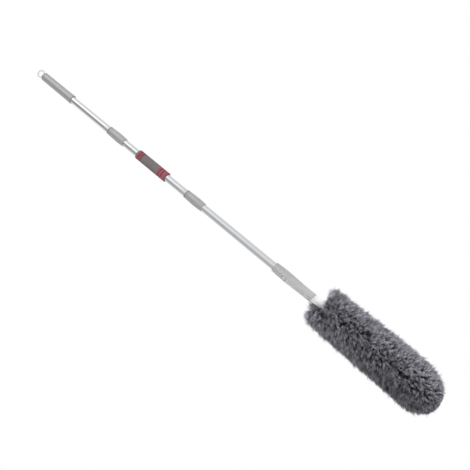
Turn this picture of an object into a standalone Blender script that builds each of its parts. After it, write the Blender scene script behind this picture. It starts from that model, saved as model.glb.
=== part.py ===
# Long-handled microfiber duster, hung by its ring with the plush head down.
# The origin is where a hook carries the ring, the pole runs down along -Z,
# and a drop is a distance below the origin.

import math

import bmesh
import bpy
from mathutils import Matrix

MM = 0.001

# Clearances and cutting
SEAT_GAP = 0.3 * MM
OVERRUN = 4.0 * MM
WELD_DISTANCE = 0.001 * MM

# Faces round turned pieces and along fillets
PLUSH_SIDES = 36
POLE_SIDES = 24
SMALL_SIDES = 16
FILLET_STEPS = 2

# Hanging ring
EYE_DIAMETER = 15.0 * MM
RING_WIDTH = 4.0 * MM
RING_THICKNESS = 3.6 * MM
RING_FILLET = 1.0 * MM
STEM_DIAMETER = 4.6 * MM
STEM_SHOWING = 2.4 * MM
STEM_ROOT_SHARE = 0.5
RETAINER_DIAMETER = 10.4 * MM
RETAINER_THICKNESS = 1.4 * MM
STEM_HEAD_DIAMETER = 7.2 * MM
STEM_HEAD_HEIGHT = 1.8 * MM

# End cap
CAP_DIAMETER = 23.0 * MM
CAP_SHOWING = 6.0 * MM
CAP_TOP_WALL = 3.0 * MM
CAP_SPIGOT_LENGTH = 10.0 * MM
CAP_SPIGOT_WALL = 2.8 * MM
CAP_FILLET = 1.8 * MM
CAP_LOWER_FILLET = 0.7 * MM

# Handle grip
GRIP_LENGTH = 116.6 * MM
GRIP_TOP_DIAMETER = 23.2 * MM
GRIP_LOW_DIAMETER = 24.0 * MM
GRIP_LIP_DIAMETER = 24.6 * MM
GRIP_LIP_LENGTH = 10.0 * MM
GRIP_FLARE_LENGTH = 7.0 * MM
GRIP_FILLET = 1.2 * MM

# Steel tubes
TUBE_DIAMETER = 19.0 * MM
TUBE_WALL = 0.8 * MM
UPPER_TUBE_SHOWING = 151.3 * MM
MIDDLE_TUBE_SHOWING = 229.8 * MM
LOWER_TUBE_SHOWING = 238.8 * MM

# Screw couplings between the tubes
PLUG_INSERT_LENGTH = 22.0 * MM
PLUG_COLLAR_HEIGHT = 3.0 * MM
PLUG_COLLAR_FILLET = 0.7 * MM
PLUG_BORE = 10.0 * MM
SPIGOT_LENGTH = 15.5 * MM
SPIGOT_DIAMETER = 16.0 * MM
SPIGOT_FILLET = 0.8 * MM
GASKET_THICKNESS = 1.0 * MM
GASKET_INSET = 0.5 * MM
COUPLER_LENGTH = 56.4 * MM
COUPLER_END_DIAMETER = 22.2 * MM
COUPLER_MAX_DIAMETER = 24.2 * MM
COUPLER_LOW_SHARE = 1.3
COUPLER_TAPER_LENGTH = 3.0 * MM
COUPLER_TAIL_DIAMETER = 21.2 * MM
COUPLER_WEB = 2.0 * MM
COUPLER_FILLET = 0.8 * MM
BARREL_STEPS = 8

# Foam grip on the middle tube
FOAM_START = 52.3 * MM
FOAM_DIAMETER = 26.0 * MM
FOAM_END_LENGTH = 7.0 * MM
FOAM_LENGTH = 58.2 * MM
UPPER_BAND_LENGTH = 14.2 * MM
UPPER_GROOVE_START = 3.1 * MM
UPPER_GROOVE_PITCH = 7.1 * MM
LOWER_BAND_LENGTH = 26.6 * MM
LOWER_GROOVE_START = 4.9 * MM
LOWER_GROOVE_PITCH = 8.5 * MM
BAND_GROOVES = 2
BAND_GROOVE = 0.7 * MM
BAND_GROOVE_WIDTH = 1.6 * MM
FOAM_END_FILLET = 2.2 * MM
FOAM_JOINT_FILLET = 0.6 * MM

# Head socket
SOCKET_LENGTH = 120.4 * MM
SOCKET_TOP_DIAMETER = 24.2 * MM
SOCKET_MAX_DIAMETER = 27.0 * MM
SOCKET_WAIST_DIAMETER = 23.6 * MM
SOCKET_MOUTH_DIAMETER = 23.2 * MM
SOCKET_SWELL = 37.0 * MM
SOCKET_WAIST = 82.0 * MM
SOCKET_SWELL_FILLET = 300.0 * MM
SOCKET_WAIST_FILLET = 600.0 * MM
SOCKET_TUBE_DEPTH = 52.0 * MM
SOCKET_WEB = 3.0 * MM
SOCKET_WEB_BORE = 12.0 * MM
SOCKET_FILLET = 1.2 * MM
KEY_SLOT_LENGTH = 21.6 * MM
KEY_SLOT_WIDTH = 5.4 * MM
FRONT_TURN = math.radians(-127)

# Snap button and its spring clip
BUTTON_LENGTH = 8.6 * MM
BUTTON_WIDTH = 6.0 * MM
BUTTON_FILLET = 0.9 * MM
BUTTON_INSET = 0.3 * MM
BUTTON_CLEARANCE = 0.4 * MM
DISH_LENGTH = 19.0 * MM
DISH_WIDTH = 13.5 * MM
DISH_DEPTH = 1.5 * MM
CLIP_STRIP = 0.8 * MM
CLIP_WIDTH = 6.0 * MM
CLIP_REACH = 50.0 * MM
CLIP_BEND_RADIUS = 1.8 * MM
CLIP_PAD_ABOVE = 6.5 * MM
CLIP_PAD_BELOW = 5.5 * MM
CLIP_BEND_STEPS = 6

# White neck that plugs into the socket
NECK_PLUG_LENGTH = 58.0 * MM
NECK_PLUG_DIAMETER = 17.8 * MM
NECK_PLUG_BORE = 11.0 * MM
NECK_PLUG_BORE_LENGTH = 50.0 * MM
NECK_COLLAR_DIAMETER = 21.6 * MM
NECK_COLLAR_HEIGHT = 5.0 * MM
NECK_DIAMETER = 20.2 * MM
NECK_LENGTH = 38.0 * MM
NECK_FILLET = 1.5 * MM
KEY_WIDTH = 4.8 * MM
KEY_INSET = 0.2 * MM
TIE_HEIGHT = 4.0 * MM
TIE_THICKNESS = 1.3 * MM

# Bendable strip through the head
STRIP_WIDTH = 14.0 * MM
STRIP_THICKNESS = 2.0 * MM
STRIP_SEAT_DEPTH = 26.0 * MM
BEND_LENGTH = 20.0 * MM
STRIP_END_INSET = 24.0 * MM
TIP_CAP_LENGTH = 16.0 * MM
TIP_CAP_WALL = 1.6 * MM
TIP_CAP_FILLET = 1.2 * MM
TIP_CAP_CLOSED = 3.0 * MM

# Plush head
PLUSH_START = 12.4 * MM
PLUSH_LENGTH = 346.8 * MM
PLUSH_NEAR_DIAMETER = 104.0 * MM
PLUSH_FULL_DIAMETER = 112.0 * MM
PLUSH_SWELL_SHARE = 0.55
PLUSH_NEAR_ROUNDING = 16.0 * MM
PLUSH_TIP_ROUNDING = 70.0 * MM
PLUSH_TIP_POWER = 2.1
PLUSH_BEND_SHARES = (0.3052, 0.6368)
PLUSH_NOTCH_DIAMETER = 66.0 * MM
PLUSH_NOTCH_DEPTH = 20.0 * MM
PLUSH_POCKET_DIAMETER = 21.2 * MM
POCKET_END_GAP = 0.4 * MM
NEAR_ROUNDING_STEPS = 3
TIP_ROUNDING_STEPS = 7
PLUSH_SPAN_STEPS = 3

# Half sizes and fits that several pieces share
TUBE_RADIUS = TUBE_DIAMETER / 2
TUBE_BORE_RADIUS = TUBE_RADIUS - TUBE_WALL
TUBE_SEAT_RADIUS = TUBE_RADIUS + SEAT_GAP
SPIGOT_RADIUS = SPIGOT_DIAMETER / 2
NECK_PLUG_RADIUS = NECK_PLUG_DIAMETER / 2
NECK_RADIUS = NECK_DIAMETER / 2

# Drops of the main joints, from the ring down
CAP_DROP = EYE_DIAMETER + RING_WIDTH + STEM_SHOWING
GRIP_DROP = CAP_DROP + CAP_SHOWING + SEAT_GAP
UPPER_TUBE_DROP = GRIP_DROP + CAP_SPIGOT_LENGTH
UPPER_PLUG_DROP = GRIP_DROP + GRIP_LENGTH + UPPER_TUBE_SHOWING
GASKET_OFFSET = PLUG_COLLAR_HEIGHT + SEAT_GAP
COUPLER_OFFSET = GASKET_OFFSET + GASKET_THICKNESS + SEAT_GAP
TUBE_SEAT_OFFSET = COUPLER_OFFSET + SPIGOT_LENGTH + COUPLER_WEB + SEAT_GAP
MIDDLE_TUBE_DROP = UPPER_PLUG_DROP + TUBE_SEAT_OFFSET
FOAM_DROP = UPPER_PLUG_DROP + COUPLER_OFFSET + COUPLER_LENGTH + FOAM_START
LOWER_PLUG_DROP = UPPER_PLUG_DROP + COUPLER_OFFSET + COUPLER_LENGTH + MIDDLE_TUBE_SHOWING
LOWER_TUBE_DROP = LOWER_PLUG_DROP + TUBE_SEAT_OFFSET
SOCKET_DROP = LOWER_PLUG_DROP + COUPLER_OFFSET + COUPLER_LENGTH + LOWER_TUBE_SHOWING
MOUTH_DROP = SOCKET_DROP + SOCKET_LENGTH
LOWER_TUBE_END = SOCKET_DROP + SOCKET_TUBE_DEPTH
BUTTON_DROP = SOCKET_DROP + SOCKET_SWELL
CLIP_DROP = BUTTON_DROP - CLIP_REACH
NECK_END = MOUTH_DROP + SEAT_GAP + NECK_COLLAR_HEIGHT + NECK_LENGTH
PLUSH_DROP = MOUTH_DROP + PLUSH_START
NEAR_BEND_DROP = PLUSH_DROP + PLUSH_LENGTH * PLUSH_BEND_SHARES[0]
FAR_BEND_DROP = PLUSH_DROP + PLUSH_LENGTH * PLUSH_BEND_SHARES[1]
STRIP_END = PLUSH_DROP + PLUSH_LENGTH - STRIP_END_INSET
STRIP_START = NECK_END - STRIP_SEAT_DEPTH

# The button stands just inside the socket's skin and must sink below its bore to let go
BUTTON_TOP = SOCKET_MAX_DIAMETER / 2 - BUTTON_INSET
BUTTON_TRAVEL = BUTTON_TOP - TUBE_RADIUS
BUTTON_SWING = math.asin(BUTTON_TRAVEL / CLIP_REACH)
BUTTON_DROP_SHIFT = BUTTON_TOP * math.sin(BUTTON_SWING)
PAD_RADIUS = math.sqrt((TUBE_BORE_RADIUS - SEAT_GAP) ** 2 - (CLIP_WIDTH / 2) ** 2)


# Materials

def finish(node, colour, roughness, metallic=0.0, transmission=0.0):
    material = bpy.data.materials.new(node)
    material.use_nodes = True
    surface = material.node_tree.nodes["Principled BSDF"]
    surface.inputs["Base Color"].default_value = (*colour, 1.0)
    surface.inputs["Roughness"].default_value = roughness
    surface.inputs["Metallic"].default_value = metallic
    surface.inputs["Transmission Weight"].default_value = transmission
    return material


def grey_plastic(node):
    return finish(node, (0.46, 0.46, 0.45), 0.45)


def stainless_steel(node):
    return finish(node, (0.74, 0.75, 0.76), 0.28, metallic=1.0)


def spring_steel(node):
    return finish(node, (0.56, 0.57, 0.58), 0.35, metallic=1.0)


def aluminium(node):
    return finish(node, (0.72, 0.72, 0.73), 0.4, metallic=1.0)


def white_plastic(node):
    return finish(node, (0.83, 0.84, 0.84), 0.35, transmission=0.1)


def grey_rubber(node):
    return finish(node, (0.32, 0.32, 0.32), 0.8)


def grey_foam(node):
    return finish(node, (0.17, 0.16, 0.16), 0.95)


def red_foam(node):
    return finish(node, (0.33, 0.09, 0.11), 0.9)


def grey_plush(node):
    return finish(node, (0.1, 0.095, 0.105), 1.0)


# Outlines, as lists of (radius, depth) pairs that run down the outside

def rounded(corners, closed=True):
    """The outline with each corner (radius, depth, fillet) rounded by its fillet."""
    outline = []
    count = len(corners)
    for index, (radius, depth, fillet) in enumerate(corners):
        ends = not closed and index in (0, count - 1)
        if fillet <= 0 or ends:
            outline.append((radius, depth))
            continue
        before = corners[index - 1]
        after = corners[(index + 1) % count]
        way_in = (before[0] - radius, before[1] - depth)
        way_out = (after[0] - radius, after[1] - depth)
        outline += fillet_points((radius, depth), way_in, way_out, fillet)
    return outline


def fillet_points(corner, way_in, way_out, fillet):
    """Points of an arc that touches both sides of a corner, never past the sides' middles."""
    reach_in = math.hypot(*way_in)
    reach_out = math.hypot(*way_out)
    unit_in = (way_in[0] / reach_in, way_in[1] / reach_in)
    unit_out = (way_out[0] / reach_out, way_out[1] / reach_out)
    half = math.acos(unit_in[0] * unit_out[0] + unit_in[1] * unit_out[1]) / 2
    tangent = min(fillet / math.tan(half), min(reach_in, reach_out) / 2.1)
    size = tangent * math.tan(half)
    middle = (unit_in[0] + unit_out[0], unit_in[1] + unit_out[1])
    middle_length = math.hypot(*middle)
    away = size / math.sin(half) / middle_length
    centre = (corner[0] + middle[0] * away, corner[1] + middle[1] * away)
    start = (corner[0] + unit_in[0] * tangent - centre[0], corner[1] + unit_in[1] * tangent - centre[1])
    turn = math.pi - 2 * half
    if unit_in[0] * unit_out[1] - unit_in[1] * unit_out[0] > 0:
        turn = -turn
    points = []
    for step in range(FILLET_STEPS + 1):
        angle = turn * step / FILLET_STEPS
        across = start[0] * math.cos(angle) - start[1] * math.sin(angle)
        along = start[0] * math.sin(angle) + start[1] * math.cos(angle)
        points.append((centre[0] + across, centre[1] + along))
    return points


# Meshes

def mesh_from(shape, name, sharp_degrees=35):
    bmesh.ops.recalc_face_normals(shape, faces=shape.faces)
    mesh = bpy.data.meshes.new(name)
    shape.to_mesh(mesh)
    shape.free()
    mesh.shade_smooth()
    mesh.set_sharp_from_angle(angle=math.radians(sharp_degrees))
    return mesh


def turned(name, outline, sides=POLE_SIDES):
    """A turned piece: the outline spun about Z, closed on itself or ending on the axis."""
    shape = bmesh.new()
    ends_on_axis = outline[0][0] == 0 and outline[-1][0] == 0
    corners = [shape.verts.new((radius, 0, -depth)) for radius, depth in outline]
    following = corners[1:] if ends_on_axis else corners[1:] + corners[:1]
    edges = [shape.edges.new(pair) for pair in zip(corners, following)]
    bmesh.ops.spin(
        shape, geom=corners + edges, cent=(0, 0, 0), axis=(0, 0, 1),
        angle=math.tau, steps=sides, use_merge=True, use_duplicate=False,
    )
    bmesh.ops.remove_doubles(shape, verts=shape.verts, dist=WELD_DISTANCE)
    return mesh_from(shape, name)


def tube_mesh(name, outer, inner, length, sides=POLE_SIDES):
    return turned(name, [(outer, 0), (outer, length), (inner, length), (inner, 0)], sides)


def block(name, size, centre, fillet=0):
    """A box of the given X, Y, Z size round its centre, with rounded edges if asked."""
    shape = bmesh.new()
    bmesh.ops.create_cube(shape, size=1)
    bmesh.ops.scale(shape, vec=size, verts=shape.verts)
    if fillet > 0:
        bmesh.ops.bevel(shape, geom=shape.edges, offset=fillet, segments=2, affect="EDGES", profile=0.5)
    bmesh.ops.translate(shape, vec=centre, verts=shape.verts)
    return mesh_from(shape, name)


def extruded(name, outline, width):
    """A flat (radial, drop) outline in the XZ plane, given a width across Y."""
    shape = bmesh.new()
    corners = [shape.verts.new((radial, -width / 2, -drop)) for radial, drop in outline]
    face = shape.faces.new(corners)
    grown = bmesh.ops.extrude_face_region(shape, geom=[face])
    moved = [item for item in grown["geom"] if isinstance(item, bmesh.types.BMVert)]
    bmesh.ops.translate(shape, vec=(0, width, 0), verts=moved)
    return mesh_from(shape, name)


def stadium(name, length, width, low, high, drop_shift=0, fillet=0):
    """A slot-shaped post along X from low to high, long side along Z, its outer edge rounded."""
    shape = bmesh.new()
    run = (length - width) / 2
    half_turn = SMALL_SIDES // 2
    outline = []
    for index in range(SMALL_SIDES + 2):
        end = -1 if index <= half_turn else 1
        angle = math.pi * (index if end < 0 else index - 1) / half_turn
        outline.append((math.cos(angle) * width / 2, -end * run + math.sin(angle) * width / 2))
    rims = [(low, 0)]
    steps = FILLET_STEPS if fillet > 0 else 0
    for step in range(steps + 1):
        turn = math.pi / 2 * step / steps if steps else 0
        rims.append((high - fillet + fillet * math.sin(turn), fillet * (1 - math.cos(turn))))
    rings = []
    for radial, inset in rims:
        narrow = 1 - 2 * inset / width
        ring = []
        for across, along in outline:
            reach = run if along > 0 else -run
            place = reach + (along - reach) * narrow
            ring.append(shape.verts.new((radial, across * narrow, place - drop_shift)))
        rings.append(ring)
    for lower, upper in zip(rings, rings[1:]):
        for index in range(len(lower)):
            after = (index + 1) % len(lower)
            shape.faces.new((lower[index], lower[after], upper[after], upper[index]))
    shape.faces.new(rings[0])
    shape.faces.new(rings[-1])
    return mesh_from(shape, name)


# Placing pieces

AXES = {}


def axis_empty(body, drop, parent=None, radial=0, turn=0):
    """The empty that stands on a body's joint axis and carries its pieces."""
    empty = bpy.data.objects.new(body + "_axis", None)
    bpy.context.collection.objects.link(empty)
    place = Matrix.Rotation(turn, 4, "Z") @ Matrix.Translation((radial, 0, -drop))
    AXES[body] = place
    if parent:
        empty.parent = bpy.data.objects[parent + "_axis"]
        place = AXES[parent].inverted() @ place
    empty.matrix_local = place
    return empty


def add(node, mesh, body, drop, material=None, turn=0, radial=0):
    """An object whose mesh starts at a drop, carried by its body's empty."""
    piece = bpy.data.objects.new(node, mesh)
    bpy.context.collection.objects.link(piece)
    piece.parent = bpy.data.objects[body + "_axis"]
    place = Matrix.Rotation(turn, 4, "Z") @ Matrix.Translation((radial, 0, -drop))
    piece.matrix_local = AXES[body].inverted() @ place
    if material:
        mesh.materials.append(material(node))
    else:
        piece.hide_render = True
        piece.display_type = "WIRE"
    return piece


def combine(piece, tool, operation="DIFFERENCE"):
    change = piece.modifiers.new(tool.name, "BOOLEAN")
    change.operation = operation
    change.object = tool
    change.solver = "EXACT"


# Hanging ring, its retainer and the end cap

def ring_mesh():
    """A flat-sided ring whose axis lies along Y."""
    inner = EYE_DIAMETER / 2
    outer = inner + RING_WIDTH
    half = RING_THICKNESS / 2
    corners = [
        (outer, -half, RING_FILLET), (outer, half, RING_FILLET),
        (inner, half, RING_FILLET), (inner, -half, RING_FILLET),
    ]
    mesh = turned("hanging_ring", rounded(corners), POLE_SIDES)
    mesh.transform(Matrix.Rotation(math.pi / 2, 4, "X"))
    return mesh


def stem_mesh():
    """The stem under the ring, which runs through the cap and ends in a wider head."""
    radius = STEM_DIAMETER / 2
    head = STEM_HEAD_DIAMETER / 2
    root = RING_WIDTH * STEM_ROOT_SHARE
    shaft = root + STEM_SHOWING + CAP_TOP_WALL + RETAINER_THICKNESS + 2 * SEAT_GAP
    end = shaft + STEM_HEAD_HEIGHT
    outline = [(0, 0), (radius, 0), (radius, shaft), (head, shaft), (head, end - STEM_HEAD_HEIGHT / 2)]
    return turned("stem", outline + [(radius, end), (0, end)], SMALL_SIDES)


def hanging_ring():
    ring = add("hanging_ring", ring_mesh(), "hanger", EYE_DIAMETER / 2, white_plastic)
    stem = add("stem", stem_mesh(), "hanger", EYE_DIAMETER + RING_WIDTH * (1 - STEM_ROOT_SHARE))
    combine(ring, stem, "UNION")


def ring_retainer():
    inner = STEM_DIAMETER / 2 + SEAT_GAP
    mesh = tube_mesh("ring_retainer", RETAINER_DIAMETER / 2, inner, RETAINER_THICKNESS, SMALL_SIDES)
    add("ring_retainer", mesh, "hanger", CAP_DROP + CAP_TOP_WALL + SEAT_GAP, spring_steel)


def end_cap():
    outer = CAP_DIAMETER / 2
    spigot = TUBE_RADIUS
    hollow = spigot - CAP_SPIGOT_WALL
    hole = STEM_DIAMETER / 2 + SEAT_GAP
    end = CAP_SHOWING + CAP_SPIGOT_LENGTH
    corners = [
        (hole, 0, 0), (outer, 0, CAP_FILLET), (outer, CAP_SHOWING, CAP_LOWER_FILLET),
        (spigot, CAP_SHOWING, 0), (spigot, end, 0), (hollow, end, 0),
        (hollow, CAP_TOP_WALL, 0), (hole, CAP_TOP_WALL, 0),
    ]
    add("end_cap", turned("end_cap", rounded(corners)), "upper_section", CAP_DROP, grey_plastic)


# Upper section

def handle_grip():
    top = GRIP_TOP_DIAMETER / 2
    low = GRIP_LOW_DIAMETER / 2
    lip = GRIP_LIP_DIAMETER / 2
    flare_end = GRIP_LENGTH - GRIP_LIP_LENGTH
    flare_start = flare_end - GRIP_FLARE_LENGTH
    corners = [
        (top, 0, CAP_LOWER_FILLET), (low, flare_start, GRIP_FLARE_LENGTH), (lip, flare_end, GRIP_FILLET),
        (lip, GRIP_LENGTH, GRIP_FILLET), (TUBE_SEAT_RADIUS, GRIP_LENGTH, 0), (TUBE_SEAT_RADIUS, 0, 0),
    ]
    add("handle_grip", turned("handle_grip", rounded(corners)), "upper_section", GRIP_DROP, grey_plastic)


def plain_tube(node, body, start, end):
    mesh = tube_mesh(node, TUBE_RADIUS, TUBE_BORE_RADIUS, end - start)
    return add(node, mesh, body, start, stainless_steel)


def threaded_plug(node, body, drop):
    """The plug pressed into a tube's lower end, with its collar and the spigot that screws in."""
    insert = TUBE_BORE_RADIUS - SEAT_GAP
    collar = COUPLER_END_DIAMETER / 2
    bore = PLUG_BORE / 2
    collar_start = PLUG_INSERT_LENGTH
    collar_end = collar_start + PLUG_COLLAR_HEIGHT
    end = collar_end + SPIGOT_LENGTH
    corners = [
        (insert, 0, SPIGOT_FILLET), (insert, collar_start, 0), (collar, collar_start, PLUG_COLLAR_FILLET),
        (collar, collar_end, 0), (SPIGOT_RADIUS, collar_end, 0), (SPIGOT_RADIUS, end, SPIGOT_FILLET),
        (bore, end, 0), (bore, 0, 0),
    ]
    add(node, turned(node, rounded(corners)), body, drop - PLUG_INSERT_LENGTH, grey_plastic)


def gasket(node, body, plug_drop):
    outer = COUPLER_END_DIAMETER / 2 - GASKET_INSET
    inner = SPIGOT_RADIUS + SEAT_GAP
    mesh = tube_mesh(node, outer, inner, GASKET_THICKNESS)
    add(node, mesh, body, plug_drop + GASKET_OFFSET, grey_rubber)


def coupler(node, body, plug_drop):
    """The barrel that the plug above screws into, widest just below its middle."""
    end_radius = COUPLER_END_DIAMETER / 2
    swell = COUPLER_MAX_DIAMETER / 2 - end_radius
    barrel = COUPLER_LENGTH - COUPLER_TAPER_LENGTH
    tail = COUPLER_TAIL_DIAMETER / 2
    thread = SPIGOT_RADIUS + SEAT_GAP
    web_end = SPIGOT_LENGTH + COUPLER_WEB
    corners = [(end_radius, 0, COUPLER_FILLET)]
    for step in range(1, BARREL_STEPS + 1):
        share = step / BARREL_STEPS
        bulge = math.sin(math.pi * share ** COUPLER_LOW_SHARE)
        corners.append((end_radius + swell * bulge, barrel * share, 0))
    corners += [
        (tail, COUPLER_LENGTH, COUPLER_FILLET), (TUBE_SEAT_RADIUS, COUPLER_LENGTH, 0),
        (TUBE_SEAT_RADIUS, web_end, 0), (PLUG_BORE / 2, web_end, 0),
        (PLUG_BORE / 2, SPIGOT_LENGTH, 0), (thread, SPIGOT_LENGTH, 0), (thread, 0, 0),
    ]
    add(node, turned(node, rounded(corners)), body, plug_drop + COUPLER_OFFSET, grey_plastic)


# Foam grip on the middle tube

def grip_band(node, drop, length, first_groove, pitch, low_fillet):
    """A red foam sleeve with ribs parted by round-bottomed grooves."""
    outer = FOAM_DIAMETER / 2
    half = BAND_GROOVE_WIDTH / 2
    corners = [(outer, 0, FOAM_JOINT_FILLET)]
    for groove in range(BAND_GROOVES):
        middle = first_groove + pitch * groove
        corners += [
            (outer, middle - half, 0), (outer - BAND_GROOVE, middle - half / 2, 0),
            (outer - BAND_GROOVE, middle + half / 2, 0), (outer, middle + half, 0),
        ]
    corners += [(outer, length, low_fillet), (TUBE_SEAT_RADIUS, length, 0), (TUBE_SEAT_RADIUS, 0, 0)]
    add(node, turned(node, rounded(corners)), "middle_section", drop, red_foam)


def foam_sleeve(node, drop, length, top_fillet):
    """A plain grey foam sleeve round the tube."""
    outer = FOAM_DIAMETER / 2
    corners = [
        (outer, 0, top_fillet), (outer, length, FOAM_JOINT_FILLET),
        (TUBE_SEAT_RADIUS, length, 0), (TUBE_SEAT_RADIUS, 0, 0),
    ]
    add(node, turned(node, rounded(corners)), "middle_section", drop, grey_foam)


def foam_grip():
    upper_drop = FOAM_DROP + FOAM_END_LENGTH + SEAT_GAP
    foam_drop = upper_drop + UPPER_BAND_LENGTH + SEAT_GAP
    lower_drop = foam_drop + FOAM_LENGTH + SEAT_GAP
    foam_sleeve("grip_end_upper", FOAM_DROP, FOAM_END_LENGTH, FOAM_END_FILLET)
    grip_band(
        "grip_band_upper", upper_drop, UPPER_BAND_LENGTH, UPPER_GROOVE_START, UPPER_GROOVE_PITCH, FOAM_JOINT_FILLET)
    foam_sleeve("foam_grip", foam_drop, FOAM_LENGTH, FOAM_JOINT_FILLET)
    grip_band(
        "grip_band_lower", lower_drop, LOWER_BAND_LENGTH, LOWER_GROOVE_START, LOWER_GROOVE_PITCH, FOAM_END_FILLET)


# Lower section: tube, socket, spring clip and snap button

def button_window(node, body, low, high):
    """The window for the button, longer below because the button swings down as it sinks."""
    length = BUTTON_LENGTH + 2 * BUTTON_CLEARANCE + BUTTON_DROP_SHIFT
    width = BUTTON_WIDTH + 2 * BUTTON_CLEARANCE
    mesh = stadium(node, length, width, low, high, BUTTON_DROP_SHIFT / 2)
    return add(node, mesh, body, BUTTON_DROP, turn=FRONT_TURN)


def lower_tube():
    tube = plain_tube("lower_tube", "lower_section", LOWER_TUBE_DROP, LOWER_TUBE_END)
    window = button_window("tube_window", "lower_section", TUBE_BORE_RADIUS - OVERRUN, TUBE_RADIUS + OVERRUN)
    combine(tube, window)


def socket_mesh():
    top = SOCKET_TOP_DIAMETER / 2
    widest = SOCKET_MAX_DIAMETER / 2
    waist = SOCKET_WAIST_DIAMETER / 2
    mouth = SOCKET_MOUTH_DIAMETER / 2
    plug_bore = NECK_PLUG_RADIUS + SEAT_GAP
    web_start = SOCKET_TUBE_DEPTH + SEAT_GAP
    web_end = web_start + SOCKET_WEB
    corners = [
        (top, 0, SOCKET_FILLET), (widest, SOCKET_SWELL, SOCKET_SWELL_FILLET),
        (waist, SOCKET_WAIST, SOCKET_WAIST_FILLET), (mouth, SOCKET_LENGTH, SOCKET_FILLET),
        (plug_bore, SOCKET_LENGTH, 0), (plug_bore, web_end, 0), (SOCKET_WEB_BORE / 2, web_end, 0),
        (SOCKET_WEB_BORE / 2, web_start, 0), (TUBE_SEAT_RADIUS, web_start, 0), (TUBE_SEAT_RADIUS, 0, 0),
    ]
    return turned("head_socket", rounded(corners))


def dish_cutter():
    """A shallow oval dish for the fingertip, centred on the socket's skin."""
    shape = bmesh.new()
    bmesh.ops.create_uvsphere(shape, u_segments=SMALL_SIDES, v_segments=SMALL_SIDES // 2, radius=1)
    bmesh.ops.scale(shape, vec=(DISH_DEPTH, DISH_WIDTH / 2, DISH_LENGTH / 2), verts=shape.verts)
    mesh = mesh_from(shape, "button_dish")
    return add("button_dish", mesh, "lower_section", BUTTON_DROP, turn=FRONT_TURN, radial=SOCKET_MAX_DIAMETER / 2)


def key_slot_cutter():
    """The slot, open at the mouth and round at its upper end, that the neck's key slides in."""
    outer = SOCKET_MAX_DIAMETER / 2 + OVERRUN
    length = 2 * KEY_SLOT_LENGTH
    mesh = stadium("key_slot", length, KEY_SLOT_WIDTH, NECK_PLUG_RADIUS - OVERRUN, outer)
    return add("key_slot", mesh, "lower_section", MOUTH_DROP, turn=FRONT_TURN)


def head_socket():
    socket = add("head_socket", socket_mesh(), "lower_section", SOCKET_DROP, grey_plastic)
    window = button_window("socket_window", "lower_section", TUBE_RADIUS - OVERRUN, BUTTON_TOP + OVERRUN)
    combine(socket, dish_cutter())
    combine(socket, window)
    combine(socket, key_slot_cutter())


def clip_arm_outline(side, start):
    """One arm of the clip: out from the bend, then straight down as a flat pad."""
    bend = CLIP_BEND_RADIUS
    pad_inner = PAD_RADIUS - CLIP_STRIP
    knee = CLIP_REACH - CLIP_PAD_ABOVE
    foot = CLIP_REACH + CLIP_PAD_BELOW
    outer = [(bend + CLIP_STRIP / 2, start), (PAD_RADIUS, knee), (PAD_RADIUS, foot)]
    inner = [(pad_inner, foot), (pad_inner, knee + CLIP_STRIP / 2), (bend - CLIP_STRIP / 2, start)]
    return [(side * radial, drop) for radial, drop in outer + inner]


def clip_outline():
    """The fixed arm and the bend over the top, seen along the clip's hinge line."""
    outline = clip_arm_outline(-1, 0)
    for radius, first, last in (
        (CLIP_BEND_RADIUS - CLIP_STRIP / 2, math.pi, 0),
        (CLIP_BEND_RADIUS + CLIP_STRIP / 2, 0, math.pi),
    ):
        for step in range(CLIP_BEND_STEPS + 1):
            angle = first + (last - first) * step / CLIP_BEND_STEPS
            outline.append((radius * math.cos(angle), -radius * math.sin(angle)))
    tidy = [outline[0]]
    for point in outline[1:]:
        if math.dist(point, tidy[-1]) > WELD_DISTANCE and math.dist(point, tidy[0]) > WELD_DISTANCE:
            tidy.append(point)
    return tidy


def spring_clip():
    fixed = extruded("spring_clip", clip_outline(), CLIP_WIDTH)
    add("spring_clip", fixed, "lower_section", CLIP_DROP, spring_steel, turn=FRONT_TURN)
    arm = extruded("clip_arm", clip_arm_outline(1, SEAT_GAP), CLIP_WIDTH)
    add("clip_arm", arm, "snap_button", CLIP_DROP, spring_steel, turn=FRONT_TURN)


def lock_button():
    mesh = stadium(
        "lock_button", BUTTON_LENGTH, BUTTON_WIDTH, PAD_RADIUS + SEAT_GAP, BUTTON_TOP, 0, BUTTON_FILLET,
    )
    add("lock_button", mesh, "snap_button", BUTTON_DROP, white_plastic, turn=FRONT_TURN)


# Head: neck, tie, bendable strip and plush

def neck_mesh():
    plug = NECK_PLUG_RADIUS
    collar = NECK_COLLAR_DIAMETER / 2
    bore = NECK_PLUG_BORE / 2
    shoulder = NECK_PLUG_LENGTH + SEAT_GAP
    collar_end = shoulder + NECK_COLLAR_HEIGHT
    end = collar_end + NECK_LENGTH
    corners = [
        (0, NECK_PLUG_BORE_LENGTH, 0), (bore, NECK_PLUG_BORE_LENGTH, 0), (bore, 0, 0),
        (plug, 0, NECK_FILLET), (plug, shoulder, 0), (collar, shoulder, PLUG_COLLAR_FILLET),
        (collar, collar_end, NECK_FILLET), (NECK_RADIUS, collar_end, 0), (NECK_RADIUS, end, NECK_FILLET),
        (0, end, 0),
    ]
    return turned("head_neck", rounded(corners, closed=False))


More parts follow.
